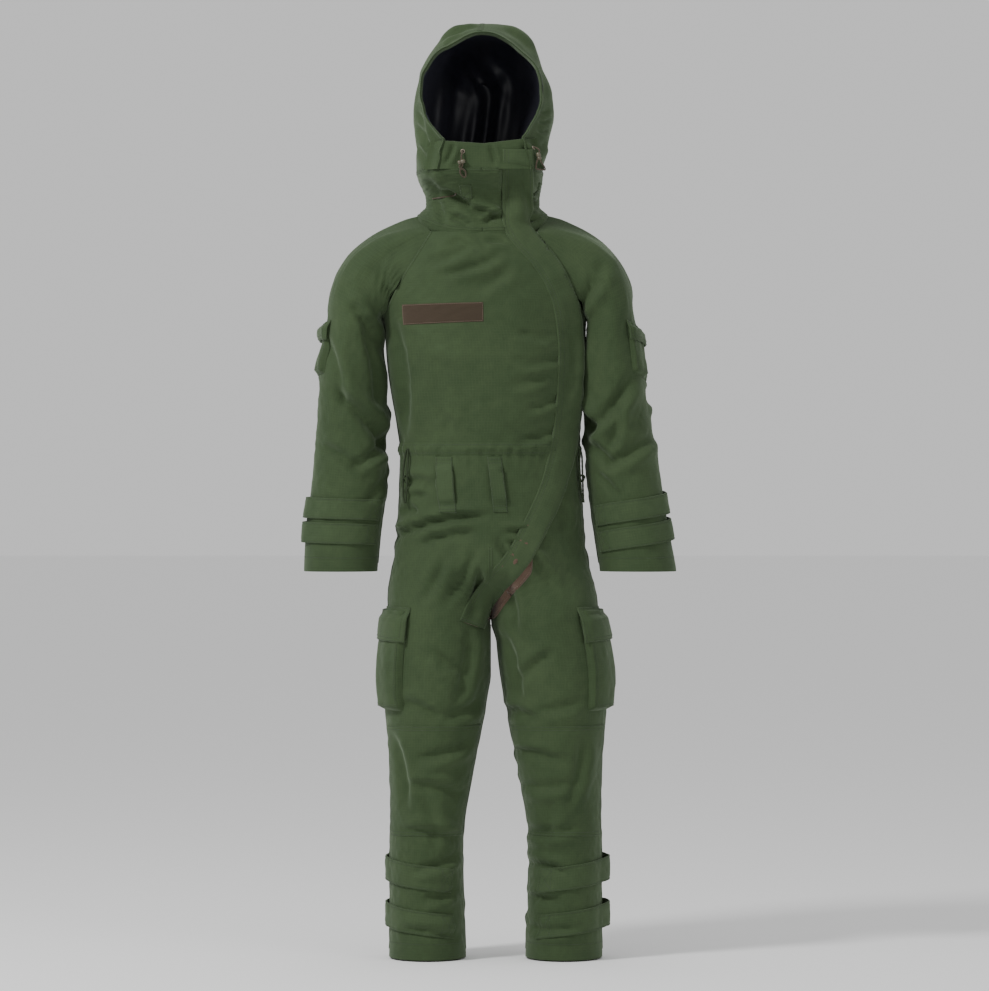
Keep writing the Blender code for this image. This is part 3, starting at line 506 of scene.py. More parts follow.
def shell_faces(top):
    """Faces and weave coordinates of a closed plate between two open grids."""
    rows, cols = top.shape[:2]
    f = quads(rows, cols, False)
    uv = grid_uv(top, False)
    half = rows * cols
    # keep the outside outwards whichever way the grid runs
    faces = [f, f[:, ::-1] + half]
    uvs = [uv, uv[:, ::-1]]
    edge = ([(0, j) for j in range(cols)] + [(i, cols - 1) for i in range(1, rows)]
            + [(rows - 1, j) for j in range(cols - 2, -1, -1)]
            + [(i, 0) for i in range(rows - 2, 0, -1)])
    ids = np.array([i * cols + j for i, j in edge])
    nxt = np.roll(ids, -1)
    faces.append(np.stack([ids, nxt, nxt + half, ids + half], 1))
    run = np.linalg.norm(top.reshape(-1, 3)[nxt] - top.reshape(-1, 3)[ids], axis=1)
    s = np.concatenate([[0], np.cumsum(run)])
    uvs.append(np.stack([np.stack([s[:-1], 0 * run], 1), np.stack([s[1:], 0 * run], 1),
                         np.stack([s[1:], 0 * run + 0.003], 1),
                         np.stack([s[:-1], 0 * run + 0.003], 1)], 1))
    return np.concatenate(faces), np.concatenate(uvs)


SEAM_PROFILE = (
    [-1.0, -0.8, -0.56, -0.44, 0.0, 0.44, 0.56, 0.8, 1.0],
    [-0.2, 0.75, 0.7, 0.25, 1.0, 0.25, 0.7, 0.75, -0.2],
)


def seam(name, centre, tree, key, half=SEAM_HALF, lift=SEAM_LIFT, rows=(-1, 1)):
    """A felled seam with a row of stitches near each edge."""
    centre = np.asarray(centre)
    at, n = nearest(tree, centre)
    along = np.gradient(at, axis=0)
    side = unit(np.cross(n, along))
    off, high = (np.array(v) for v in SEAM_PROFILE)
    ribbon(name, at, side, off * half, high * lift, tree, GREEN, KEYS[key])
    for row in rows:
        line, m = nearest(tree, at + side * (0.5 * half * row))
        stitch(key, line + m * lift * 0.3, m)


def spaced(path, gap):
    path = np.asarray(path, float)
    s = np.concatenate([[0], np.cumsum(np.linalg.norm(np.diff(path, axis=0), axis=1))])
    t = np.linspace(0, s[-1], max(2, int(s[-1] / gap) + 1))
    return np.stack([np.interp(t, s, c) for c in path.T], 1)


def plate(name, corners, place, thick, cloth, key, replaces=(), nu=24, nv=10,
          rows=(0.0022,), soft=0.0016, extra=None, colour="green", wobble=0.0):
    """Sewn-on piece with four corners in the surface's own coordinates.

    place(s, t) gives points and normals; rows are its stitches' distances in."""
    c = np.array(corners, float)

    def spread01(n, length):
        edge = np.array([0.0, 0.0008, 0.0022, 0.0040]) / length
        inner = np.linspace(edge[-1], 1 - edge[-1], n)
        return np.concatenate([edge[:-1], inner, (1 - edge[:-1])[::-1]])

    def metric(a, b):
        p, _ = place(np.array([c[a][0], c[b][0]]), np.array([c[a][1], c[b][1]]))
        return float(np.linalg.norm(p[1] - p[0]))
    width, height = metric(0, 1), metric(1, 2)
    u, v = spread01(nu, width), spread01(nv, height)
    uu, vv = np.meshgrid(u, v)
    st = (c[0] * ((1 - uu) * (1 - vv))[..., None] + c[1] * (uu * (1 - vv))[..., None]
          + c[2] * (uu * vv)[..., None] + c[3] * ((1 - uu) * vv)[..., None])
    at, n = place(st[..., 0], st[..., 1])
    du, dv = np.minimum(uu, 1 - uu) * width, np.minimum(vv, 1 - vv) * height
    edge = np.minimum(du, dv)
    h = thick * (0.25 + 0.75 * smooth01(edge / soft))
    h = h - 0.45 * thick * np.exp(-((edge - 0.0032) / 0.0011) ** 2) * (thick > 0.0012)
    if wobble:
        h += wobble * (np.sin(uu * 9.1 + 1.3) * np.sin(vv * 3.7 + uu * 4.0)
                       + 0.6 * np.sin(uu * 23.0 + vv * 5.0))
    under = np.zeros(h.shape)
    if extra is not None:
        more = extra(uu, vv)
        h, under = h + more, under + more
    under = under - 0.0008
    top, bottom = at + n * h[..., None], at + n * under[..., None]
    faces, uv = shell_faces(top)
    emit(name, np.concatenate([top.reshape(-1, 3), bottom.reshape(-1, 3)]), faces,
         uv, cloth, KEYS[key], replaces=replaces)
    for inset in rows:
        iu, iv = inset / width, inset / height
        loop = [(iu, iv), (1 - iu, iv), (1 - iu, 1 - iv), (iu, 1 - iv), (iu, iv)]
        line_on(top, n, u, v, loop, key, colour)
    return top, n, u, v, width


def line_on(top, n, u, v, loop, key, colour="green"):
    """Stitches along a path given in a plate's own 0..1 coordinates."""
    loop = spaced([(a, b, 0) for a, b in loop], 0.01)[:, :2]

    def look(g):
        fu = np.interp(loop[:, 0], u, np.arange(len(u)))
        fv = np.interp(loop[:, 1], v, np.arange(len(v)))
        i = np.clip(fv.astype(int), 0, len(v) - 2)
        j = np.clip(fu.astype(int), 0, len(u) - 2)
        a, b = (fv - i)[:, None], (fu - j)[:, None]
        return (g[i, j] * (1 - a) * (1 - b) + g[i + 1, j] * a * (1 - b)
                + g[i, j + 1] * (1 - a) * b + g[i + 1, j + 1] * a * b)
    stitch(key, look(top), look(n), colour)


def rope(name, points, radius, cloth, zone, replaces=(), twist=True, sides=10):
    """Round cord through points, smoothed."""
    pts = refined(np.asarray(points, float)[:, None, :], 6, False)[:, 0]
    pts = spaced(pts, radius * 0.9)
    along = unit(np.gradient(pts, axis=0))
    ref = np.array([0.31, 0.2, 0.93])
    verts = []
    for i, (p, d) in enumerate(zip(pts, along)):
        s = np.cross(d, ref)
        s /= np.linalg.norm(s)
        w = np.cross(d, s)
        for k in range(sides):
            a = TAU * k / sides
            r = radius * (1 + (0.10 * math.cos(2 * (a + i * 0.55)) if twist else 0.0))
            verts.append(p + s * r * math.cos(a) + w * r * math.sin(a))
    f = quads(len(pts), sides, True)[:, ::-1]
    verts += [pts[0], pts[-1]]
    n = len(verts)
    cap = [[(k + 1) % sides, k, n - 2, n - 2] for k in range(sides)]
    last = (len(pts) - 1) * sides
    cap += [[last + k, last + (k + 1) % sides, n - 1, n - 1] for k in range(sides)]
    faces = [tuple(q) for q in f.tolist()] + [tuple(q[:3]) for q in cap]
    ob = build(name, verts, faces, cloth)
    hold(ob, zone)
    for node in replaces:
        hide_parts(node)


# ---- materials --------------------------------------------------------------
class Nodes:
    """Small helper that writes a node material from the top down."""

    def __init__(self, name):
        self.mat = bpy.data.materials.new(name)
        self.mat.use_nodes = True
        self.tree = self.mat.node_tree
        self.shader = self.tree.nodes["Principled BSDF"]
        uv = self.add("ShaderNodeUVMap")
        uv.uv_map = "weave"
        self.uv = uv.outputs[0]
        self.position = self.add("ShaderNodeTexCoord").outputs["Object"]

    def add(self, kind):
        return self.tree.nodes.new(kind)

    def link(self, a, b):
        self.tree.links.new(a, b)

    def math(self, what, a, b=None):
        n = self.add("ShaderNodeMath")
        n.operation = what
        for socket, value in zip(n.inputs, (a, b)):
            if value is None:
                continue
            if isinstance(value, (int, float)):
                socket.default_value = value
            else:
                self.link(value, socket)
        return n.outputs[0]

    def scaled(self, value, by, plus):
        return self.math("ADD", self.math("MULTIPLY", value, by), plus)

    def mean(self, a, share_a, b, share_b):
        return self.math("ADD", self.math("MULTIPLY", a, share_a),
                         self.math("MULTIPLY", b, share_b))

    def noise(self, scale, detail=3.0, rough=0.5, where=None, stretch=None):
        source = where or self.position
        if stretch is not None:
            m = self.add("ShaderNodeMapping")
            m.inputs["Scale"].default_value = stretch
            self.link(source, m.inputs["Vector"])
            source = m.outputs[0]
        n = self.add("ShaderNodeTexNoise")
        n.inputs["Scale"].default_value = scale
        n.inputs["Detail"].default_value = detail
        n.inputs["Roughness"].default_value = rough
        self.link(source, n.inputs["Vector"])
        return n.outputs["Fac"]

    def ramp(self, value, low, high, at=(0.3, 0.7)):
        n = self.add("ShaderNodeValToRGB")
        n.color_ramp.elements[0].position, n.color_ramp.elements[1].position = at
        n.color_ramp.elements[0].color = (*low, 1)
        n.color_ramp.elements[1].color = (*high, 1)
        self.link(value, n.inputs[0])
        return n.outputs[0]

    def mix(self, how, amount, a, b):
        n = self.add("ShaderNodeMix")
        n.data_type, n.blend_type = "RGBA", how
        if isinstance(amount, float):
            n.inputs["Factor"].default_value = amount
        else:
            self.link(amount, n.inputs["Factor"])
        for key, value in (("A", a), ("B", b)):
            socket = next(s for s in n.inputs if s.name == key and s.type == "RGBA")
            if isinstance(value, tuple):
                socket.default_value = (*value, 1)
            else:
                self.link(value, socket)
        return next(s for s in n.outputs if s.type == "RGBA")

    def lines(self, pitch, angle, bend=None):
        """0..1 ridges across the weave, pitch in metres."""
        sep = self.add("ShaderNodeSeparateXYZ")
        self.link(self.uv, sep.inputs[0])
        a = self.math("MULTIPLY", sep.outputs[0], TAU * math.cos(angle) / pitch)
        b = self.math("MULTIPLY", sep.outputs[1], TAU * math.sin(angle) / pitch)
        total = self.math("ADD", a, b)
        if bend is not None:
            total = self.math("ADD", total, self.math("MULTIPLY", bend, 2.0))
        wave = self.math("SINE", total)
        return self.scaled(wave, 0.5, 0.5)

    def bump(self, height, strength, distance, after=None):
        n = self.add("ShaderNodeBump")
        n.inputs["Strength"].default_value = strength
        n.inputs["Distance"].default_value = distance
        self.link(height, n.inputs["Height"])
        if after is not None:
            self.link(after, n.inputs["Normal"])
        return n.outputs[0]

    def finish(self, colour, rough, normal=None, **values):
        self.link(colour, self.shader.inputs["Base Color"])
        if isinstance(rough, float):
            self.shader.inputs["Roughness"].default_value = rough
        else:
            self.link(rough, self.shader.inputs["Roughness"])
        if normal is not None:
            self.link(normal, self.shader.inputs["Normal"])
        for key, value in values.items():
            self.shader.inputs[key.replace("_", " ")].default_value = value
        return self.mat


def twill(name, dark, light, worn):
    """Cotton twill: fine diagonal ribs, slubs, faint check, uneven dye."""
    n = Nodes(name)
    wide = n.noise(7.0, 3.0, 0.55)
    mottled = n.noise(46.0, 4.0, 0.6)
    slub = n.noise(900.0, 2.0, 0.5, n.uv, (0.10, 1.0, 1.0))
    slub2 = n.noise(900.0, 2.0, 0.5, n.uv, (1.0, 0.08, 1.0))
    rib = n.lines(0.0011, math.radians(63), slub)
    check = n.math("MAXIMUM", n.math("POWER", n.lines(0.0052, 0.0), 14.0),
                   n.math("POWER", n.lines(0.0052, math.pi / 2), 14.0))
    colour = n.ramp(n.mean(wide, 0.6, mottled, 0.4), dark, light, (0.34, 0.66))
    yarn = n.mean(slub, 0.5, slub2, 0.5)
    colour = n.mix("MULTIPLY", 0.55, colour, n.ramp(yarn, (0.72, 0.72, 0.72),
                                                    (1.22, 1.22, 1.22), (0.30, 0.70)))
    colour = n.mix("MIX", n.math("MULTIPLY", check, 0.16), colour, worn)
    colour = n.mix("MULTIPLY", 0.35, colour, n.ramp(rib, (0.80, 0.80, 0.80),
                                                    (1.12, 1.12, 1.12), (0.1, 0.9)))
    relief = n.math("ADD", rib, n.math("MULTIPLY", yarn, 0.9))
    normal = n.bump(n.noise(120.0, 3.0, 0.6), 0.16, 0.0010)
    normal = n.bump(relief, 0.35, 0.00022, normal)
    return n.finish(colour, n.scaled(mottled, 0.12, 0.74), normal,
                    Sheen_Weight=0.22, Sheen_Roughness=0.45,
                    Sheen_Tint=(0.62, 0.75, 0.55, 1.0), Specular_IOR_Level=0.22)


def flecked(name, pattern, dark, light, rough, relief=None, at=(0.3, 0.7), **values):
    """Two tones mixed by a pattern that is also the surface's relief."""
    n = Nodes(name)
    fleck = pattern(n)
    normal = relief(n) if relief else n.bump(fleck, 0.7, 0.0004)
    return n.finish(n.ramp(fleck, dark, light, at), rough, normal, **values)


def braid(n):
    return n.noise(1400.0, 2.0, 0.5)


def fine_grain(n):
    return n.noise(2500.0)


def thread_relief(n):
    return n.bump(n.noise(4000.0), 0.4, 0.0001)


# each cloth is its material and its slot
GREEN = (twill("twill_green", (0.0265, 0.0470, 0.0175), (0.0410, 0.0665, 0.0270),
               (0.068, 0.099, 0.047)), "twill_green")
GREEN_LIGHT = (twill("twill_green_light", (0.0290, 0.0505, 0.0195),
                     (0.0440, 0.0705, 0.0295), (0.072, 0.104, 0.051)),
               "twill_green_light")

n = Nodes("lining_satin")
ripple = n.noise(60.0, 2.0, 0.5, None, (1.0, 1.0, 0.15))
SATIN = (n.finish(n.ramp(n.noise(14.0), (0.0080, 0.0082, 0.0125), (0.0170, 0.0175, 0.0260)),
                  n.scaled(ripple, 0.12, 0.40), n.bump(n.lines(0.0006, 0.0), 0.10, 0.00008),
                  Specular_IOR_Level=0.42, Anisotropic=0.5, Sheen_Weight=0.25,
                  Sheen_Roughness=0.3, Sheen_Tint=(0.45, 0.48, 0.72, 1.0)),
         "lining_satin")

n = Nodes("hook_loop_brown")
loops = n.mean(n.noise(1500.0, 2.0, 0.6, n.uv), 0.6, n.noise(420.0, 3.0, 0.7, n.uv), 0.4)
PILE = (n.finish(n.ramp(loops, (0.014, 0.0105, 0.0060), (0.052, 0.037, 0.023),
                        (0.32, 0.68)), 0.92, n.bump(loops, 0.9, 0.0007), Sheen_Weight=0.35,
                 Sheen_Roughness=0.6, Sheen_Tint=(0.7, 0.55, 0.45, 1.0),
                 Specular_IOR_Level=0.15), "hook_loop_brown")
TAPE = (flecked("tape_brown", lambda n: n.noise(700.0, 2.0, 0.5, n.uv),
                (0.060, 0.036, 0.024), (0.125, 0.078, 0.052), 0.80,
                lambda n: n.bump(n.lines(0.0009, math.pi / 2), 0.5, 0.0003),
                Sheen_Weight=0.2, Specular_IOR_Level=0.25), "hook_loop_brown")
CORD = (flecked("cord_brown", braid, (0.022, 0.016, 0.009), (0.085, 0.060, 0.034), 0.78,
                Sheen_Weight=0.2, Specular_IOR_Level=0.3), "cord_brown")
CORD_GREEN = (flecked("cord_green", braid, (0.014, 0.022, 0.010), (0.040, 0.058, 0.028),
                      0.8, Specular_IOR_Level=0.25), "twill_green")

n = Nodes("toggle_plastic")
grain = n.noise(900.0, 2.0, 0.5)
TOGGLE = (n.finish(n.ramp(n.noise(90.0), (0.060, 0.052, 0.030), (0.105, 0.092, 0.058)),
                   n.scaled(grain, 0.15, 0.34), n.bump(grain, 0.15, 0.0002)),
          "toggle_plastic")

n = Nodes("zip_metal")
scratch = n.noise(500.0, 3.0, 0.6, None, (1.0, 1.0, 0.1))
METAL = (n.finish(n.ramp(scratch, (0.20, 0.17, 0.13), (0.36, 0.31, 0.25)),
                  n.scaled(scratch, 0.25, 0.28), n.bump(scratch, 0.1, 0.0001),
                  Metallic=0.9), "zip_metal")
# the green thread is painted darker than the twill: its own dark green plus painted shade of the
# seam grooves
THREADS = {
    "green": (flecked("thread_green_painted_groove_shade", fine_grain, (0.0080, 0.0135, 0.0055),
                      (0.0150, 0.0240, 0.0105), 0.7, thread_relief, Sheen_Weight=0.2),
              "twill_green"),
    "brown": (flecked("thread_brown", fine_grain, (0.16, 0.105, 0.075),
                      (0.24, 0.165, 0.12), 0.7, thread_relief, Sheen_Weight=0.2),
              "hook_loop_brown"),
}

# ---- where the cloth bends --------------------------------------------------
cx_low = float(body_at(-0.66)[0])
CROTCH_Z = -0.735     # where the two trouser legs part
ARM_CUT = -0.292      # below this the sleeve goes to its elbow piece
HIP_Z = -0.630        # from here down the hips turn into two legs
FULL_Z = -0.27        # height of the sleeve's and body's fullest part


def arm_zones(side, sign):
    ex, ey, ez = PIVOT["elbow_" + side]
    x0 = float(raglan_x[side](ARMPIT_Z)[0]) + sign * 0.004
    start = (x0, 0.0, ARMPIT_Z)
    end = (x0 + sign * 0.054, 0.0, ARMPIT_Z - 0.072)
    return [(ARM_CUT, ("torso", "upper_arm_" + side, start, end)),
            (ez - 0.055, ("upper_arm_" + side, "forearm_" + side, (ex, ey, ez + 0.050),
                          (ex, ey, ez - 0.050))),
            (None, "forearm_" + side)]


def leg_zones(side, sign):
    kz = PIVOT["knee_" + side][2]
    start = (cx_low, 0.0, CROTCH_Z)
    end = (cx_low + sign * 0.084, 0.0, CROTCH_Z - 0.063)
    return [(kz + 0.062, ("torso", "upper_leg_" + side, start, end)),
            (kz - 0.070, ("upper_leg_" + side, "lower_leg_" + side, (0, 0, kz + 0.056),
                          (0, 0, kz - 0.060))),
            (None, "lower_leg_" + side)]


TORSO = [(None, "torso")]
KEYS = {"torso": TORSO, "hood": [(None, "hood")]}
for side, sign in SIDES:
    KEYS["arm_" + side] = arm_zones(side, sign)
    KEYS["leg_" + side] = leg_zones(side, sign)
    for body in ("upper_arm_", "forearm_", "upper_leg_", "lower_leg_", "sleeve_flap_",
                 "cargo_flap_", "cuff_tab_upper_", "cuff_tab_lower_", "ankle_tab_upper_",
                 "ankle_tab_lower_"):
        KEYS[body + side] = [(None, body + side)]

# ---- upper body -------------------------------------------------------------
CHEST_BOX = ((-0.19, WAIST_Z), (0.19, NECK_Z))
rows_up = np.linspace(NECK_Z - 0.001, WAIST_Z, 43)


def side_phi(side, sign, z):
    t = smooth01((ARMPIT_Z + 0.020 - z) / 0.030)
    top = phi_of(body_at, raglan_x[side](np.maximum(z, ARMPIT_Z + 0.001))[0], z)
    return top * (1 - t) + sign * (math.pi / 2) * t


def body_panel(phi_a, phi_b, cols):
    z = np.repeat(rows_up[:, None], cols + 1, 1)
    t = np.linspace(0, 1, cols + 1)[None]
    phi = phi_a[:, None] * (1 - t) + phi_b[:, None] * t
    return tube(body_at, phi, z, 0.0045 * bump01(z, FULL_Z, 0.085) * np.sin(phi) ** 2)


left_edge, right_edge = (side_phi(s, g, rows_up) for s, g in SIDES)
zip_phi = phi_of(body_at, zip_x(rows_up), rows_up)
panels = {
    "chest_right": body_panel(right_edge, zip_phi, 30),
    "chest_left": body_panel(zip_phi, left_edge, 12),
    "back": body_panel(math.pi - left_edge, math.pi - right_edge, 44),
}
CHEST_FOLDS = [
    # across, down, across, down (shares of the chest), width, depth
    (0.56, 0.13, 0.29, 0.21, 0.010, 0.0040), (0.60, 0.04, 0.49, 0.06, 0.006, 0.0030),
    (0.40, 0.09, 0.22, 0.15, 0.012, 0.0028), (0.82, 0.50, 0.64, 0.48, 0.008, 0.0024),
    (0.87, 0.60, 0.64, 0.62, 0.009, 0.0026), (0.86, 0.77, 0.71, 0.83, 0.008, 0.0030),
    (0.84, 0.92, 0.68, 0.97, 0.008, 0.0030), (0.25, 0.82, 0.33, 0.92, 0.010, 0.0022),
    (0.38, 0.75, 0.45, 0.88, 0.010, 0.0018), (0.05, 0.40, 0.10, 0.95, 0.016, 0.0045),
    (0.12, 0.45, 0.17, 0.75, 0.012, 0.0026), (0.80, 0.68, 0.62, 0.72, 0.009, 0.0022),
    (0.30, 0.04, 0.42, 0.07, 0.008, 0.0022), (0.93, 0.42, 0.90, 0.80, 0.012, 0.0040),
    (0.62, 0.18, 0.45, 0.28, 0.014, 0.0026), (0.20, 0.58, 0.34, 0.66, 0.014, 0.0016),
]


def edge_pin(n_rows, n_cols, sides=True, soft=2):
    """1 on the sewn edges, fading to 0 over a few rows."""
    pin = np.zeros((n_rows, n_cols))
    for edge in [pin, pin[::-1]] + ([pin.T, pin.T[::-1]] if sides else []):
        for k in range(soft + 1):
            edge[k] = np.maximum(edge[k], 1.0 - k / (soft + 1))
    return pin


def puckers(grid, normal, edge_near, depth, pitch, reach, seed):
    """Short ripples that run away from a seam; edge_near is the distance to it."""
    r = np.random.default_rng(seed)
    z = grid[..., 2]
    wave = np.sin(z / pitch * TAU + 1.7 * np.sin(z * 31.0) + r.uniform(0, TAU))
    size = 0.6 + 0.4 * np.sin(z * 47.0 + r.uniform(0, TAU))
    return grid + normal * (depth * wave * size * np.exp(-(edge_near / reach) ** 2)
                            * smooth01(edge_near / 0.006))[..., None]


def gathers(grid, normal, z_line, depth, reach, seed):
    """Ripples round the body beside the waist casing."""
    r = np.random.default_rng(seed)
    run = np.arctan2(grid[..., 0], -grid[..., 1]) * 0.15
    wave = (np.sin(run / 0.021 * TAU + 2.0 * np.sin(run * 41.0))
            + 0.6 * np.sin(run / 0.034 * TAU + r.uniform(0, TAU)))
    near = np.abs(grid[..., 2] - z_line)
    return grid + normal * (depth * wave * np.exp(-(near / reach) ** 2))[..., None]


BACK_FOLDS = [
    (0.10, 0.30, 0.32, 0.42, 0.014, 0.003), (0.90, 0.32, 0.68, 0.44, 0.014, 0.003),
    (0.20, 0.86, 0.44, 0.80, 0.012, 0.003), (0.82, 0.88, 0.58, 0.80, 0.012, 0.003),
    (0.30, 0.94, 0.62, 0.90, 0.010, 0.003), (0.36, 0.16, 0.64, 0.17, 0.012, 0.002),
    (0.08, 0.50, 0.16, 0.80, 0.014, 0.004), (0.92, 0.52, 0.85, 0.82, 0.014, 0.004),
]
for k, (name, g) in enumerate(panels.items()):
    nrm = normals_of(g, False)
    if name != "back":
        g = creases(g, nrm, CHEST_FOLDS, CHEST_BOX)
        near = np.abs(g[..., 0] - zip_x(g[..., 2])) + 0.001
        g = puckers(g, nrm, np.maximum(near - 0.020, 0), 0.0011, 0.024, 0.030, 5 + k)
    else:
        g = back_creases(g, nrm, BACK_FOLDS, CHEST_BOX)
    g = gathers(g, normals_of(g, False), WAIST_Z, 0.0013, 0.022, 3)
    pin = edge_pin(*g.shape[:2])
    grow = 0.012 + 0.030 * smooth01((WAIST_Z + 0.13 - g[..., 2]) / 0.12)
    panels[name] = settle(g, False, pin, grow, seed=11 + k, cap=0.0055)

# ---- sleeves with their raglan heads ----------------------------------------
RING, HEAD_STEPS, BELOW_STEPS = 56, 13, 48
BOW_OUT, BOW_UP = 0.020, 0.034        # the seam beside the collar bows out and up
TIP_OUT, TIP_Z, TIP_DEPTH = 0.056, 0.002, 0.070
BALL_R, BALL_DROP = 0.087, 0.085      # the joint ball that the sleeve closes round
OUTER_FULL = {"left": 0.0085, "right": 0.0030}


def sleeve(side, sign):
    at = arm_at[side]
    px, _py, pz = PIVOT["shoulder_" + side]
    phi = TAU * np.arange(RING) / RING
    inwards, front = -sign * np.sin(phi), np.cos(phi)
    over = np.maximum(0.0, -inwards)
    low, top = ARMPIT_Z + 0.001, NECK_Z - 0.001
    z = low + (top - low) * (1 - np.maximum(0.0, inwards))
    x = raglan_x[side](z)[0]
    cx, cy, a, b = body_at(z)
    depth = b * np.sqrt(np.maximum(0.0, 1 - ((x - cx) / a) ** 2))
    bow = np.where(over > 0, 1 - np.abs(front), 0.0)
    way = np.where(over > 0, front, np.sign(np.where(np.abs(front) < 1e-6, 0, front)))
    # at the armpit the seam closes round the side of the body
    close = smooth01((z - low) / 0.016)
    way = np.where(over > 0, way, way * close + front * (1 - close))
    head = np.stack([x + sign * BOW_OUT * bow + sign * 0.0005, cy - depth * way,
                     z + BOW_UP * bow], 1)
    ring_z = np.full(RING, pz - BALL_DROP)
    for _ in range(8):
        gap = tube(at, phi, ring_z)[:, 0] - px
        ring_z = pz - np.sqrt(np.maximum(BALL_R ** 2 - gap ** 2, 1e-6))
    end = tube(at, phi, ring_z)
    tip = np.stack([np.full(RING, px + sign * TIP_OUT), -TIP_DEPTH * front,
                    np.full(RING, TIP_Z)], 1)
    weight = np.clip(0.5 + 0.7 * sign * np.sin(phi), 0, 1)[:, None]
    knee = (head + end) / 2 * (1 - weight) + tip * weight
    t = np.linspace(0, 1, HEAD_STEPS)[:, None, None]
    loft = head * (1 - t) ** 2 + knee * (2 * t * (1 - t)) + end * t ** 2
    down = np.linspace(0, 1, BELOW_STEPS + 1)[1:, None]
    z_below = ring_z[None] + (CUFF_Z[side] - ring_z[None]) * down
    full = (0.0050 * bump01(z_below, FULL_Z, 0.085) * np.maximum(inwards, 0)
            + OUTER_FULL[side] * bump01(z_below, -0.40, 0.09) * over
            + 0.0040 * bump01(z_below, FULL_Z, 0.06) * over)
    below = tube(at, np.broadcast_to(phi, z_below.shape), z_below, full)
    grid = np.concatenate([loft, below])
    for _ in range(5):
        mid = grid.copy()
        mid[1:-1] = (grid[:-2] + 2 * grid[1:-1] + grid[2:]) / 4
        grid[2:24] = mid[2:24]
    return grid


ARM_FOLDS = {
    # shares of the sleeve's box: across from the wearer's right to left, down
    "right": [
        (0.34, 0.16, 0.72, 0.40, 0.011, 0.0045), (0.84, 0.26, 0.74, 0.62, 0.012, 0.0070),
        (0.25, 0.45, 0.78, 0.66, 0.015, 0.0065), (0.92, 0.42, 0.70, 0.56, 0.010, 0.0050),
        (0.15, 0.62, 0.56, 0.72, 0.014, 0.0040), (0.52, 0.28, 0.62, 0.50, 0.012, 0.0040),
        (0.74, 0.60, 0.40, 0.70, 0.012, 0.0045), (0.60, 0.10, 0.86, 0.30, 0.012, 0.0045),
        (0.20, 0.30, 0.34, 0.52, 0.014, 0.0035), (0.66, 0.72, 0.50, 0.80, 0.010, 0.0025),
    ],
    "left": [
        (0.16, 0.24, 0.30, 0.50, 0.012, 0.0060), (0.10, 0.42, 0.44, 0.60, 0.013, 0.0065),
        (0.70, 0.44, 0.30, 0.62, 0.015, 0.0060), (0.36, 0.22, 0.30, 0.42, 0.010, 0.0045),
        (0.86, 0.60, 0.46, 0.70, 0.014, 0.0045), (0.24, 0.58, 0.56, 0.68, 0.012, 0.0045),
        (0.52, 0.08, 0.24, 0.26, 0.012, 0.0040), (0.42, 0.70, 0.60, 0.78, 0.010, 0.0030),
        (0.60, 0.50, 0.52, 0.66, 0.012, 0.0030),
    ],
}
sleeves = {}
for side, sign in SIDES:
    g = sleeve(side, sign)
    lo, hi = g[..., 0].min(), g[..., 0].max()
    box = ((lo, CUFF_Z[side]), (hi, 0.0))
    nrm = normals_of(g, True)
    g = creases(g, nrm, ARM_FOLDS[side], box)
    back = [(1 - a, b, 1 - c, d, w, e) for a, b, c, d, w, e in ARM_FOLDS[side]]
    g = back_creases(g, nrm, back, box)
    ez = PIVOT["elbow_" + side][2]
    pin = np.zeros(g.shape[:2])
    pin[:3] = np.array([1, 1, 0.7])[:, None]
    pin[-9:] = np.linspace(0.4, 1, 9)[:, None]
    pin[3:HEAD_STEPS] = 0.15
    grow = 0.014 + 0.050 * np.exp(-((g[..., 2] - ez - 0.01) / 0.075) ** 2)
    sleeves[side] = settle(g, True, pin, grow, seed=31 + int(sign), cap=0.0075)

# ---- trousers: one grid a leg, open above the crotch ------------------------
LEG_COLS = 72
rows_down = np.concatenate([np.linspace(WAIST_Z, -0.55, 15)[:-1],
                            np.linspace(-0.55, HEM_Z, 85)])


def trouser(side, sign):
    u = np.linspace(0, 1, LEG_COLS + 1)[None]
    z = np.repeat(rows_down[:, None], LEG_COLS + 1, 1)
    whole = tube(body_at, sign * math.pi * u + 0 * z, z)
    one = tube(leg_at[side], sign * (TAU * u - math.pi / 2) + 0 * z, z)
    # the inner side of the leg is drawn in to the middle as it nears the crotch
    cx, _cy, a, _b = leg_at[side](z)
    apart = sign * (cx - sign * a - cx_low)
    share = (cx + sign * a - one[..., 0]) / (2 * sign * a)
    one[..., 0] -= sign * apart * share * smooth01((z - CROTCH_Z + 0.050) / 0.045)
    one[..., 0] = cx_low + sign * np.maximum(sign * (one[..., 0] - cx_low), 0.0006)
    s = smooth01((HIP_Z - z) / (HIP_Z - CROTCH_Z))[..., None]
    return whole * (1 - s) + one * s


HIP_FOLDS = [
    (0.10, 0.115, 0.17, 0.117, 0.009, 0.0045), (0.11, 0.10, 0.21, 0.085, 0.010, 0.0035),
    (0.12, 0.06, 0.25, 0.068, 0.012, 0.0030), (0.03, 0.165, 0.47, 0.118, 0.009, 0.0050),
    (0.18, 0.178, 0.42, 0.158, 0.009, 0.0048), (0.55, 0.158, 0.74, 0.172, 0.009, 0.0040),
    (0.53, 0.178, 0.60, 0.235, 0.008, 0.0045), (0.54, 0.170, 0.74, 0.225, 0.010, 0.0040),
    (0.80, 0.10, 0.82, 0.16, 0.014, 0.0030), (0.44, 0.20, 0.32, 0.30, 0.010, 0.0035),
    (0.46, 0.22, 0.42, 0.34, 0.010, 0.0045), (0.57, 0.25, 0.62, 0.36, 0.012, 0.0040),
    (0.30, 0.22, 0.20, 0.30, 0.012, 0.0030), (0.62, 0.20, 0.80, 0.27, 0.012, 0.0030),
]
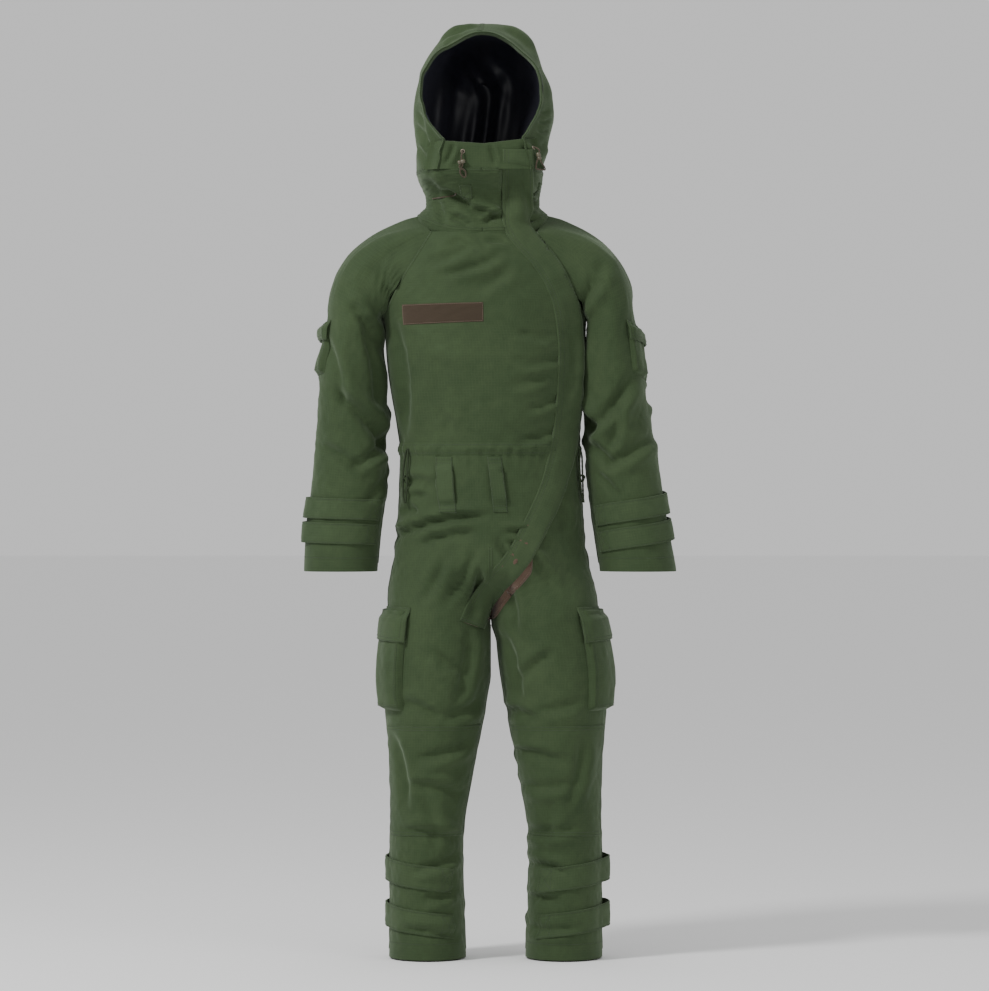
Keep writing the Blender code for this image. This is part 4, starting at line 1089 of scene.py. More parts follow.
KNEE_FOLDS = [
    (0.45, 0.50, 0.30, 0.53, 0.012, 0.0040), (0.10, 0.49, 0.28, 0.52, 0.012, 0.0035),
    (0.40, 0.58, 0.18, 0.61, 0.012, 0.0040), (0.14, 0.65, 0.36, 0.67, 0.012, 0.0035),
    (0.38, 0.44, 0.24, 0.40, 0.012, 0.0035), (0.12, 0.74, 0.36, 0.76, 0.012, 0.0040),
    (0.36, 0.80, 0.16, 0.83, 0.010, 0.0038), (0.34, 0.87, 0.20, 0.885, 0.010, 0.0040),
    (0.12, 0.935, 0.34, 0.95, 0.010, 0.0035), (0.42, 0.36, 0.36, 0.50, 0.012, 0.0045),
    (0.08, 0.56, 0.14, 0.70, 0.012, 0.0040), (0.22, 0.68, 0.26, 0.78, 0.014, 0.0025),
]
SEAT_FOLDS = [
    (0.06, 0.20, 0.46, 0.235, 0.014, 0.005), (0.94, 0.20, 0.54, 0.235, 0.014, 0.005),
    (0.10, 0.30, 0.44, 0.27, 0.014, 0.004), (0.90, 0.31, 0.56, 0.27, 0.014, 0.004),
    (0.12, 0.56, 0.42, 0.58, 0.013, 0.005), (0.88, 0.57, 0.58, 0.59, 0.013, 0.005),
    (0.14, 0.61, 0.40, 0.62, 0.012, 0.004), (0.86, 0.62, 0.60, 0.63, 0.012, 0.004),
    (0.16, 0.90, 0.38, 0.91, 0.012, 0.004), (0.84, 0.90, 0.62, 0.91, 0.012, 0.004),
]
LEG_BOX = ((-0.21, HEM_Z), (0.22, WAIST_Z))
trousers = {}
for side, sign in SIDES:
    g = trouser(side, sign)
    nrm = normals_of(g, False) * sign
    if side == "left":
        folds = HIP_FOLDS + [(1 - a, b + 0.008, 1 - c, d - 0.006, w, e * 0.9)
                             for a, b, c, d, w, e in KNEE_FOLDS]
    else:
        folds = HIP_FOLDS + KNEE_FOLDS
    g = creases(g, nrm, folds, LEG_BOX)
    g = back_creases(g, nrm, SEAT_FOLDS, LEG_BOX)
    g = gathers(g, nrm, WAIST_Z, 0.0015, 0.030, 3)
    kz = PIVOT["knee_" + side][2]
    pin = np.zeros(g.shape[:2])
    pin[:3] = np.array([1, 0.7, 0.35])[:, None]
    pin[-4:] = np.array([0.3, 0.6, 0.9, 1])[:, None]
    pin[:, [0, -1]] = 1.0
    pin[:, [1, -2]] = np.maximum(pin[:, [1, -2]], 0.5)
    grow = (0.014 + 0.034 * np.exp(-((g[..., 2] - kz - 0.02) / 0.10) ** 2)
            + 0.026 * smooth01((-1.19 - g[..., 2]) / 0.08)
            + 0.022 * smooth01((g[..., 2] - WAIST_Z + 0.07) / 0.06))
    trousers[side] = settle(g, False, pin, grow, seed=41 + int(sign), cap=0.0075)


# ---- finished cloth ---------------------------------------------------------
def hemmed(grid, normal):
    """Adds a turned-in hem under the last row."""
    edge = grid[-1:] - normal[-1:] * 0.0012 + [0, 0, -0.0010]
    up, up_n = grid[:-8:-1], normal[:-8:-1]
    inner = unit(np.concatenate([normal[-1:] * 0.3 + [0, 0, -0.9], -up_n]))
    return (np.concatenate([grid, edge, up - up_n * HEM_IN]),
            np.concatenate([normal, inner]))


fine = {name: refined(g, FINER, False) for name, g in panels.items()}
fine_n = {name: normals_of(g, False) for name, g in fine.items()}
for a, ja, b, jb in (("chest_right", 0, "back", -1), ("chest_left", -1, "back", 0),
                     ("chest_right", -1, "chest_left", 0)):
    both = unit(fine_n[a][:, ja] + fine_n[b][:, jb])
    fine_n[a][:, ja] = fine_n[b][:, jb] = both
for name, node in (("chest_right", "front_panel_right"), ("chest_left", "front_panel_left"),
                   ("back", "back_panel")):
    emit_grid(name, fine[name], False, GREEN, TORSO, fine_n[name],
              [(node,)])

arm_fine, arm_tree = {}, {}
for side, _sign in SIDES:
    g = refined(sleeves[side], FINER, True)
    nrm = normals_of(g, True)
    arm_fine[side] = (g, nrm)
    arm_tree[side] = surface((g, True))
    whole, whole_n = hemmed(g, nrm)
    emit_grid("sleeve_" + side, whole, True, GREEN, KEYS["arm_" + side],
              whole_n, [("shoulder_" + side,), ("upper_sleeve_" + side,),
                        ("lower_sleeve_" + side,)])

leg_fine, leg_tree = {}, {}
for side, sign in SIDES:
    g = refined(trousers[side], FINER, False)
    leg_fine[side] = [g, normals_of(g, False) * sign]
centre = [unit(leg_fine["left"][1][:, j] + leg_fine["right"][1][:, j]) for j in (0, -1)]
for side, sign in SIDES:
    g, nrm = leg_fine[side]
    below = (g[:, 0, 2] < CROTCH_Z + 0.004)[:, None]
    inseam = unit(nrm[:, 0] + nrm[:, -1])
    nrm[:, 0] = np.where(below, inseam, centre[0])
    nrm[:, -1] = np.where(below, inseam, centre[1])
    leg_tree[side] = surface((g[:, ::int(sign)], False))
    whole, whole_n = hemmed(g, nrm)
    half = whole.shape[1] // 2
    cuts = {"front": slice(0, half + 1), "back": slice(half, None)}
    nodes = {"front": [("lower_front_" + side, "thigh_" + side), (), ("shin_" + side,)],
             "back": [("seat_panel", "crotch_gusset"), (), ()]}
    for part, cut in cuts.items():
        a, b = whole[:, cut], whole_n[:, cut]
        if sign < 0:
            a, b = a[:, ::-1], b[:, ::-1]
        emit_grid("trouser_%s_%s" % (part, side), a, False, GREEN,
                  KEYS["leg_" + side], b, nodes[part])

# ---- collar and hood --------------------------------------------------------
HOOD_LOW, HOOD_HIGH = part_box("hood_shell_left"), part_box("hood_shell_right")
hood_x0, hood_x1 = HOOD_HIGH[0].x, HOOD_LOW[1].x
hood_cx, hood_a = (hood_x0 + hood_x1) / 2, (hood_x1 - hood_x0) / 2
hood_back, hood_top = HOOD_LOW[1].y, HOOD_LOW[1].z
chin_low, chin_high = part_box("chin_guard")
chin_front, chin_side_y = chin_low.y, chin_high.y
hood_zc = HOOD_BASE + 0.49 * (hood_top - HOOD_BASE)
COLLAR_ZONE = [(None, ("torso", "hood", (0, 0, 0.034), (0, 0, HOOD_BASE)))]
KEYS["collar"] = COLLAR_ZONE


def base_loop(phi):
    """Plan outline where the hood joins the collar."""
    s, c = np.sin(phi), np.cos(phi)
    half = np.where(s < 0, 0.962, 0.885) * hood_a
    front = chin_side_y + (chin_front - chin_side_y) * np.sqrt(np.maximum(1 - s * s, 0))
    x = hood_cx + half * s
    y_back = 0.012 + 0.096 * np.abs(c)
    blend = smooth01((c + 0.35) / 0.7)
    y = y_back * (1 - blend) + (front + 0.10 * (1 - np.clip(c, 0, 1)) ** 2) * blend
    return x, y


cols = 144
phi = TAU * np.arange(cols) / cols
zs = np.concatenate([np.linspace(HOOD_BASE + 0.001, NECK_Z + 0.006, 40),
                     [NECK_Z + 0.002, NECK_Z - 0.003, NECK_Z - 0.014, NECK_Z - 0.026]])
bx, by = base_loop(phi)
grid = np.zeros((len(zs), cols, 3))
for i, z in enumerate(zs):
    ring = tube(collar_at, phi, min(max(z, 0.013), 0.108))
    mixed = smooth01((z - 0.066) / (HOOD_BASE - 0.066))
    flare = 0.016 * smooth01((0.036 - z) / 0.034) * (0.25 + 0.75 * np.abs(np.sin(phi)))
    flare -= 0.35 * max(NECK_Z - 0.004 - z, 0)
    out = np.stack([np.sin(phi), -np.cos(phi)], 1)
    grid[i, :, :2] = (ring[:, :2] * (1 - mixed) + np.stack([bx, by], 1) * mixed
                      + out * flare[:, None])
    grid[i, :, 2] = z + 0.031 * np.abs(np.sin(phi)) ** 3 * smooth01((0.080 - z) / 0.075)
    sunk = smooth01((NECK_Z - 0.003 - z) / 0.020)
    grid[i, :, 2] -= 0.020 * np.abs(np.sin(phi)) ** 3 * sunk
nrm = normals_of(grid, True)
COLLAR_BOX = ((-0.122, NECK_Z), (0.098, HOOD_BASE))
grid = creases(grid, nrm, [
    (0.16, 0.30, 0.42, 0.62, 0.009, 0.0050), (0.42, 0.62, 0.66, 0.80, 0.009, 0.0045),
    (0.50, 0.88, 0.66, 0.70, 0.007, 0.0035), (0.70, 0.62, 0.96, 0.50, 0.008, 0.0055),
    (0.70, 0.78, 0.94, 0.66, 0.007, 0.0045), (0.74, 0.42, 0.98, 0.34, 0.007, 0.0035),
    (0.70, 0.94, 0.98, 0.76, 0.008, 0.0050), (0.10, 0.44, 0.18, 0.95, 0.010, 0.0020),
    (0.22, 0.72, 0.40, 0.92, 0.010, 0.0035), (0.02, 0.15, 0.14, 0.42, 0.010, 0.0022),
    (0.84, 0.20, 0.90, 0.50, 0.007, 0.0045),
], COLLAR_BOX)
grid = back_creases(grid, nrm, [
    (0.20, 0.30, 0.80, 0.34, 0.010, 0.0045), (0.30, 0.60, 0.76, 0.56, 0.010, 0.0040),
    (0.24, 0.84, 0.60, 0.88, 0.009, 0.0035)], COLLAR_BOX)
coarse = grid[:, ::2]
pin = edge_pin(*coarse.shape[:2], sides=False)
coarse = settle(coarse, True, pin, np.full(pin.shape, 0.04), seed=61, cap=0.0045,
                frames=12)
collar = refined(coarse, 2, True)
# the cloth lies flat behind the straight run of the zip slider
slider_low, slider_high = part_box("zip_slider")
sx, sz = (slider_low.x + slider_high.x) / 2, (slider_low.z + slider_high.z) / 2


def slider_run(z):
    """1 over the heights that the slider passes, 0 away from them."""
    return smooth01((z - sz + 0.085) / 0.03) * smooth01((sz + 0.040 - z) / 0.03)


press = (smooth01((0.030 - np.abs(collar[..., 0] - sx)) / 0.018)
         * slider_run(collar[..., 2]) * (collar[..., 1] < 0))
collar[..., 1] += press * np.maximum(slider_high.y + 0.0030 - collar[..., 1], 0)
collar_n = normals_of(collar, True)
emit_grid("collar_cloth", collar, True, GREEN, COLLAR_ZONE, collar_n,
          [("collar",)])

# outline of the hood and of its face opening: turn from the top, share of half width
SHAPE = np.array([
    (-138, 1.46), (-134, 1.38), (-130, 1.24), (-122, 1.15), (-114, 1.09), (-105, 1.03),
    (-95, 1.00), (-85, 0.985), (-65, 0.985), (-53, 0.985), (-42, 1.00), (-31, 1.075),
    (-17, 1.12), (-6, 1.10), (6, 1.10), (22, 1.125), (33, 1.13), (44, 1.075), (54, 1.01),
    (64, 0.975), (75, 0.99), (86, 1.01), (95, 1.03), (105, 1.07), (114, 1.09),
    (123, 1.15), (130, 1.23), (136, 1.33), (141, 1.39)])
FACE = np.array([
    (-139, 0.865), (-124, 0.855), (-110, 0.865), (-96, 0.886), (-85, 0.912), (-74, 0.917),
    (-58, 0.917), (-47, 0.925), (-37, 0.895), (-28, 0.872), (-17, 0.90), (-5, 0.935),
    (10, 0.93), (25, 0.888), (40, 0.858), (53, 0.88), (66, 0.912), (80, 0.895),
    (102, 0.858), (121, 0.828), (136, 0.865)])


def soften(table, stations, blur=3.5):
    fine_t = np.arange(table[0, 0] - 15, table[-1, 0] + 15.5, 0.5)
    v = np.interp(fine_t, table[:, 0], table[:, 1])
    k = np.exp(-0.5 * (np.arange(-24, 25) * 0.5 / blur) ** 2)
    pad = np.concatenate([np.full(24, v[0]), v, np.full(24, v[-1])])
    return np.interp(stations, fine_t, np.convolve(pad, k / k.sum(), "valid"))


N_SEAM, N_OPEN = 9, 120
corner_l, corner_r = FACE[0, 0], FACE[-1, 0]
open_face = np.linspace(corner_l, corner_r, N_OPEN)
open_out = np.linspace(-129, 131, N_OPEN)


def polar(turn, r):
    turn = np.radians(turn)
    return hood_cx + hood_a * r * np.sin(turn), hood_zc + hood_a * r * np.cos(turn)


def chin_y(x):
    s = np.clip((x - hood_cx) / hood_a, -0.995, 0.995)
    return chin_side_y + (chin_front - chin_side_y) * np.sqrt(1 - s * s)


fx, fz = polar(open_face, soften(FACE, open_face))
ox, oz = polar(open_out, soften(SHAPE, open_out))
seam_l = np.linspace(0, 1, N_SEAM)[:-1]
base_l = (hood_cx - 0.66 * hood_a, HOOD_BASE)
base_r = (hood_cx + 0.715 * hood_a, HOOD_BASE)
fx = np.concatenate([base_l[0] + (fx[0] - base_l[0]) * seam_l, fx,
                     base_r[0] + (fx[-1] - base_r[0]) * seam_l[::-1]])
fz = np.concatenate([base_l[1] + (fz[0] - base_l[1]) * seam_l, fz,
                     base_r[1] + (fz[-1] - base_r[1]) * seam_l[::-1]])
side_l = base_loop(np.array([-math.pi / 2]))[0][0]
side_r = base_loop(np.array([math.pi / 2]))[0][0]
lz = HOOD_BASE + (oz[0] - HOOD_BASE) * seam_l
rz = HOOD_BASE + (oz[-1] - HOOD_BASE) * seam_l
ox = np.concatenate([side_l + (ox[0] - side_l) * smooth01(seam_l), ox,
                     (side_r + (ox[-1] - side_r) * smooth01(seam_l))[::-1]])
oz = np.concatenate([lz, oz, rz[::-1]])
turn_all = np.degrees(np.arctan2(fx - hood_cx, fz - hood_zc))
low_part = smooth01((np.abs(turn_all) - 98) / 38)
face_y = chin_side_y - 0.002 + (chin_y(fx) - chin_side_y) * low_part

MID_Y = 0.022
ring_list = []
for w in (0.0, 0.10, 0.32, 0.62, 0.90):
    x = fx + (ox - fx) * smooth01(w) ** 0.8
    z = fz + (oz - fz) * smooth01(w) ** 0.8
    y = face_y + (-0.040 - face_y) * w
    ring_list.append(np.stack([x, y, z], 1))
ring_list.append(np.stack([ox, np.full(len(ox), -0.028), oz], 1))
for psi in np.radians([0, 18, 34, 49, 62, 74, 83, 90]):
    gx, gz = math.cos(psi), max(math.cos(psi) ** 0.8, 0.16)
    x = hood_cx + (ox - hood_cx) * (0.992 * gx)
    z = np.where(oz > hood_zc, hood_zc + (oz - hood_zc) * gz, oz)
    y = np.full(len(ox), MID_Y + (hood_back - MID_Y) * math.sin(psi))
    ring_list.append(np.stack([x, y, z], 1))
hood = np.array(ring_list)
# draw the lower edge in to the collar's outline
low = smooth01((HOOD_BASE + 0.060 - hood[..., 2]) / 0.060)
ang = np.arctan2((hood[..., 0] - hood_cx) / hood_a, -(hood[..., 1] - 0.0) / 0.125)
tx, ty = base_loop(ang)
pull = low ** 1.6
pull[:6] *= np.linspace(0, 1, 6)[:, None]
hood[..., 0] += (tx - hood[..., 0]) * pull
hood[..., 1] += (ty - hood[..., 1]) * pull
hood = refined(hood, 4, False)
nrm = normals_of(hood, False)
probe = hood[len(hood) // 2, 4] - [hood_cx, 0, hood_zc]
turned = float((nrm[len(hood) // 2, 4] * probe).sum()) < 0
outward = -1 if turned else 1
nrm = nrm * outward
HOOD_BOX = ((hood_x0, HOOD_BASE), (hood_x1, hood_top))
hood = creases(hood, nrm, [
    # across, down, across, down, width, depth
    (0.04, 0.60, 0.11, 0.80, 0.006, 0.0018), (0.02, 0.68, 0.15, 0.90, 0.008, 0.0026),
    (0.10, 0.80, 0.20, 0.97, 0.008, 0.0016), (0.02, 0.82, 0.12, 0.97, 0.008, 0.0028),
    (0.99, 0.60, 0.92, 0.63, 0.006, 0.0016), (0.99, 0.67, 0.91, 0.69, 0.006, 0.0016),
    (0.98, 0.74, 0.90, 0.75, 0.005, 0.0014), (0.97, 0.82, 0.88, 0.88, 0.008, 0.0020),
    (0.18, 0.14, 0.36, 0.05, 0.006, 0.0018), (0.26, 0.09, 0.46, 0.03, 0.005, 0.0016),
    (0.22, 0.17, 0.34, 0.10, 0.005, 0.0012), (0.66, 0.04, 0.88, 0.20, 0.009, 0.0018),
    (0.93, 0.30, 0.96, 0.52, 0.008, 0.0018), (0.03, 0.30, 0.03, 0.55, 0.008, 0.0018),
], HOOD_BOX)
wave = (np.sin(hood[..., 2] * 61.0 + hood[..., 1] * 23.0)
        + np.sin(hood[..., 0] * 47.0 + hood[..., 1] * 37.0 + 1.0))
inner_rows = smooth01(np.arange(len(hood))[:, None] / 16.0)
hood = hood + nrm * (0.0011 * wave * inner_rows)[..., None]
nrm = normals_of(hood, False) * outward
mid_col = int(np.argmin(np.abs(hood[20, :, 0] - hood_cx) + (hood[20, :, 2] < hood_zc)))
rim_in = hood[0] - nrm[0] * 0.0035 + [0, 0.004, 0]
rim_mid = hood[0] - nrm[0] * 0.0015 + [0, -0.0018, 0]
rim2 = hood[0] - nrm[0] * 0.0050 + [0, 0.022, 0]
shell_grid = np.concatenate([rim2[None], rim_in[None], rim_mid[None], hood])
shell_n = normals_of(shell_grid, False) * outward
for side, cut in (("right", slice(0, mid_col + 1)), ("left", slice(mid_col, None))):
    a, b = shell_grid[:, cut], shell_n[:, cut]
    if turned:
        a, b = a[:, ::-1], b[:, ::-1]
    emit_grid("hood_" + side, a, False, GREEN, KEYS["hood"], b,
              [("hood_shell_" + side,)])

# chin guard between the two hood halves
nz, nx = 14, 60
top_z = np.interp(np.linspace(0, 1, nx), [0, 0.16, 0.5, 0.84, 1],
                  [fz[N_SEAM - 1] + 0.0, fz[N_SEAM - 1] - 0.003, fz[N_SEAM - 1] - 0.008,
                   fz[-N_SEAM] - 0.004, fz[-N_SEAM]])
chin = np.zeros((nz, nx, 3))
for i in range(nz):
    t = i / (nz - 1)
    x_l = fx[N_SEAM - 1] + (base_l[0] - fx[N_SEAM - 1]) * t
    x_r = fx[-N_SEAM] + (base_r[0] - fx[-N_SEAM]) * t
    x = np.linspace(x_l - 0.024, x_r + 0.024, nx)
    z = top_z + (HOOD_BASE - top_z) * t
    y = chin_y(x)
    ang = np.arctan2((x - hood_cx) / hood_a, -y / 0.125)
    _bx, by2 = base_loop(ang)
    y = y * (1 - t ** 2) + by2 * t ** 2
    tucked = np.maximum(np.maximum(x_l - x, x - x_r), 0) / 0.024
    chin[i] = np.stack([x, y + 0.0130 * smooth01(tucked * 1.6), z], 1)
nrm = normals_of(chin, False)
chin = creases(chin, nrm, [(0.30, 0.84, 0.24, 0.97, 0.006, 0.003),
                           (0.56, 0.85, 0.60, 0.97, 0.006, 0.0025),
                           (0.80, 0.84, 0.86, 0.96, 0.006, 0.003)], HOOD_BOX)
nrm = normals_of(chin, False)
lip = np.stack([chin[0] - nrm[0] * 0.0030 + [0, 0.010, -0.020],
                chin[0] - nrm[0] * 0.0030 + [0, 0.002, -0.002],
                chin[0] - nrm[0] * 0.0014 + [0, 0, 0.0010]])
chin_all = np.concatenate([lip, chin])
emit_grid("chin_guard_cloth", chin_all, False, GREEN, KEYS["hood"],
          normals_of(chin_all, False), [("chin_guard",)])

# satin lining: hangs in soft upright folds inside the hood
rows_l = []
for k, psi in enumerate(np.radians(np.linspace(0, 90, 26))):
    gx, gz = math.cos(psi), max(math.cos(psi) ** 0.7, 0.30)
    y0 = chin_side_y + 0.010
    x = hood_cx + (ox - hood_cx) * 0.945 * gx
    z = np.where(oz > hood_zc, hood_zc + (oz - hood_zc) * 0.94 * gz, oz)
    # in front of the widest ring the lining stays inside the face opening
    spread = 0.10 * smooth01((y0 + (0.118 - y0) * math.sin(psi) ** 1.25 + 0.062)
                                     / 0.050)
    x = hood_cx + np.sign(ox - hood_cx) * np.minimum(np.abs(x - hood_cx),
                                                     np.abs(fx - hood_cx) + spread)
    z = np.where(oz > hood_zc, np.minimum(z, hood_zc + np.abs(fz - hood_zc) + spread), z)
    if k < 5:
        t = k / 5
        x = (fx + (hood_cx - fx) * 0.012) * (1 - t) + x * t
        z = (fz + (hood_zc - fz) * 0.012) * (1 - t) + z * t
    y = np.full(len(ox), y0 + (0.118 - y0) * math.sin(psi) ** 1.25)
    y = np.where(k < 5, face_y * (1 - k / 5) + y * (k / 5) + 0.006, y)
    rows_l.append(np.stack([x, y, z], 1))
lining = refined(np.array(rows_l), 2, False)
deep = smooth01((lining[..., 1] - 0.0) / 0.09)
fade = smooth01((hood_zc + 0.085 - lining[..., 2]) / 0.12)
x_rel = lining[..., 0] - hood_cx
fold = (np.cos((x_rel + 0.10 * (lining[..., 2] - hood_zc) ** 2 * 8 + 0.02) / 0.058 * TAU)
        + 0.55 * np.cos((x_rel * 1.0 - 0.16 * (lining[..., 2] - hood_zc))
                        / 0.037 * TAU + 0.8))
lining[..., 1] -= deep * fade * (0.010 * fold + 0.006)
lining[..., 1] -= deep * (1 - fade) * 0.006 * np.cos(
    (x_rel * 0.8 + 0.6 * (lining[..., 2] - hood_zc)) / 0.050 * TAU)
nrm = normals_of(lining, False) * outward
for side in ("right", "left"):
    mid = int(np.argmin(np.abs(lining[6, :, 0] - hood_cx) + (lining[6, :, 2] < hood_zc)))
    cut = slice(0, mid + 1) if side == "right" else slice(mid, None)
    a, b = lining[:, cut], -nrm[:, cut]
    if not turned:
        a, b = a[:, ::-1], b[:, ::-1]
    emit_grid("lining_" + side, a, False, SATIN, KEYS["hood"], b,
              [("hood_lining_" + side,)])

# ---- trees for the trimmings ------------------------------------------------
yokes = [(arm_fine[side][0][arm_fine[side][0][:, 0, 2] > ARMPIT_Z], True)
         for side, _sign in SIDES]
body_grids = [(fine[name], False) for name in ("chest_right", "chest_left", "back")]
body_grids += [(leg_fine["left"][0], False), (leg_fine["right"][0][:, ::-1], False)]
head_grids = [(chin, False), (hood[:, ::-1] if turned else hood, False)]
front_tree = surface(*yokes, *body_grids, (collar, True), *head_grids)
body_tree = surface(*body_grids)
hood_tree = surface(*head_grids, (collar, True))


# ---- seams ------------------------------------------------------------------
def front_cast(tree):
    return lambda flat: front_on(tree, flat[..., 0], flat[..., 2])


def on_front(tree):
    return lambda s, t: front_on(tree, s, t)


def on_limb(tree, at):
    return lambda s, t: limb_on(tree, at, s, t)


def deg(*values):
    return [math.radians(v) for v in values]


KEYS["front"] = [(0.020, COLLAR_ZONE[0][1]), (-0.50, "torso"),
                 (None, KEYS["leg_right"][0][1])]
above = fine["chest_right"][:, 0, 2] > ARMPIT_Z - 0.004
below = ~above
for name, grid, j in (("right", fine["chest_right"], 0), ("left", fine["chest_left"], -1)):
    seam("raglan_seam_" + name, grid[above, j], body_tree, "torso")
    seam("side_seam_" + name, grid[below, j], body_tree, "torso", rows=())
for name, j in (("left", 0), ("right", -1)):
    seam("back_raglan_" + name, fine["back"][above, j], body_tree, "torso")
for side, sign in SIDES:
    g = leg_fine[side][0]
    tree = leg_tree[side]
    key = "leg_" + side
    seam("outseam_" + side, g[4:-3, g.shape[1] // 2], tree, key)
    low = g[:, 0, 2] < CROTCH_Z - 0.012
    seam("inseam_" + side, g[low, 0][:-3], tree, key, rows=(1,))
    arm = arm_fine[side][0]
    j = int(round(arm.shape[1] * (0.25 if sign < 0 else 0.75))) % arm.shape[1]
    seam("sleeve_seam_" + side, arm[30:-3, j], arm_tree[side], "arm_" + side, rows=(1,))
g = leg_fine["left"][0]
rise = (g[:, 0, 2] > CROTCH_Z + 0.006) & (g[:, 0, 2] < WAIST_Z - 0.014)
seam("back_seam", g[rise, -1], body_tree, "torso")
seam("front_seam", g[rise & (g[:, 0, 2] < -0.60), 0], body_tree, "torso")

seam("neck_seam", looped(collar[-7]), front_tree, "torso", half=0.0036, lift=0.0012,
     rows=(1,))
seam("hood_seam", looped(collar[1]), hood_tree, "hood", half=0.0036, lift=0.0011)
crown = hood[4:-14, mid_col]
seam("crown_seam", crown, hood_tree, "hood")
rim_row = int(np.argmin(np.abs(np.cumsum(
    np.linalg.norm(np.diff(hood[:, mid_col], axis=0), axis=1)) - 0.017)))
ends = 4 * (N_SEAM - 1)
path, m = nearest(hood_tree, hood[rim_row, ends:-ends])
stitch("hood", path, m)
for side, _sign in SIDES:
    g, nrm = arm_fine[side]
    row = int(np.argmin(np.abs(g[:, 0, 2] - CUFF_Z[side] - 0.026)))
    stitch("arm_" + side, looped(g[row]), looped(nrm[row]))
    g, nrm = leg_fine[side]
    row = int(np.argmin(np.abs(g[:, 0, 2] - HEM_Z - HEM_DEEP)))
    stitch("leg_" + side, g[row], nrm[row])

# ---- storm flap and zip -----------------------------------------------------
FLAP_TOP, FLAP_END = 0.158, -0.748
FLAP_HALF = 0.0235
zs = np.linspace(FLAP_TOP, FLAP_END, 300)
line = np.stack([zip_x(zs), 0 * zs, zs], 1)
line = spaced(line, 0.0045)
run = unit(np.gradient(line, axis=0))
across = np.stack([-run[:, 2], 0 * run[:, 0], run[:, 0]], 1)
in_collar = smooth01((line[:, 2] - 0.000) / 0.05)
half_l = FLAP_HALF - 0.0040 * in_collar
half_r = FLAP_HALF + 0.0125 * in_collar
t = np.array([0, 0.03, 0.08, 0.14, 0.22, 0.32, 0.45, 0.60, 0.75, 0.86, 0.93, 0.97, 1.0])
offs = -half_l[:, None] * (1 - t) + half_r[:, None] * t
lift = np.interp(t, [0, 0.03, 0.14, 0.30, 0.60, 0.90, 1.0],
                 [0.0004, 0.0016, 0.0019, 0.0042, 0.0052, 0.0062, 0.0050])
lift = np.tile(lift, (len(line), 1))
wave = 0.0007 * np.sin(line[:, 2] * 71.0) + 0.0006 * np.sin(line[:, 2] * 143.0 + 1.0)
lift += wave[:, None] * smooth01(t / 0.3)[None]


def drape(flat):
    """The flap bridges hollows and stands clear of the slider's run."""
    at, n = front_on(front_tree, flat[..., 0], flat[..., 2])
    at[..., 1] = np.minimum(at[..., 1], along_rows(at[..., 1:2], 5)[..., 0])
    at[..., 1] = along_rows(at[..., 1:2], 2)[..., 0]
    n[..., 2] *= 0.3
    n = unit(along_rows(n, 5))
    beside = smooth01((0.026 - np.abs(flat[..., 0] - sx)) / 0.016)
    clear = slider_low.y - 0.0005 - at[..., 1]
    at[..., 1] += np.minimum(clear, 0) * slider_run(flat[..., 2]) * beside
    return at, n


flap_at, flap_n = ribbon("storm_flap_cloth", line, across, offs, lift, front_tree,
                         GREEN_LIGHT, KEYS["front"], replaces=[("storm_flap",)],
                         thick=0.0024, caster=drape)
flap_top = flap_at + flap_n * lift[..., None]


def flap_line(share):
    """Points and normals on the flap at a share of its width."""
    pos = np.interp(share, t, np.arange(len(t)))
    i = int(pos)
    f = pos - i
    i2 = min(i + 1, len(t) - 1)
    return (flap_top[:, i] * (1 - f) + flap_top[:, i2] * f,
            flap_n[:, i] * (1 - f) + flap_n[:, i2] * f)


for share in (0.065, 0.20, 0.93):
    path, m = flap_line(share)
    stitch("front", path, m)
stitch("front", flap_top[-2], flap_n[-2])
tape_rows = line[:, 2] < 0.115
ribbon("zip_tape_under", line[tape_rows], across[tape_rows],
       [-0.014, -0.0135, -0.0035, -0.0025, 0.0, 0.0025, 0.0035, 0.0135, 0.014],
       [0.0, 0.0007, 0.0007, 0.0016, 0.0020, 0.0016, 0.0007, 0.0007, 0.0],
       front_tree, TAPE, KEYS["front"],
       replaces=[("zip_tape",)], caster=front_cast(front_tree))
TAPE_SHOWS = (-0.742, -0.600)         # heights where the tape looks out from the flap
edge_rows = (line[:, 2] < TAPE_SHOWS[1]) & (line[:, 2] > TAPE_SHOWS[0])
edge = line[edge_rows]
taper = (smooth01((edge[:, 2] - TAPE_SHOWS[0]) / 0.030)
         * smooth01((TAPE_SHOWS[1] - edge[:, 2]) / 0.03))
share = np.linspace(0, 1, 6)
tape_off = 0.0150 + np.outer(taper, share) * 0.0175 + 0.006 * share[None]
tape_at, tape_n = ribbon(
    "zip_tape_edge", edge, across[edge_rows], tape_off,
    [0.0006, 0.0012, 0.0013, 0.0013, 0.0011, 0.0004], front_tree, TAPE, KEYS["front"],
    caster=front_cast(front_tree))
stitch("front", tape_at[:, 4] + tape_n[:, 4] * 0.0013, tape_n[:, 4], "brown")

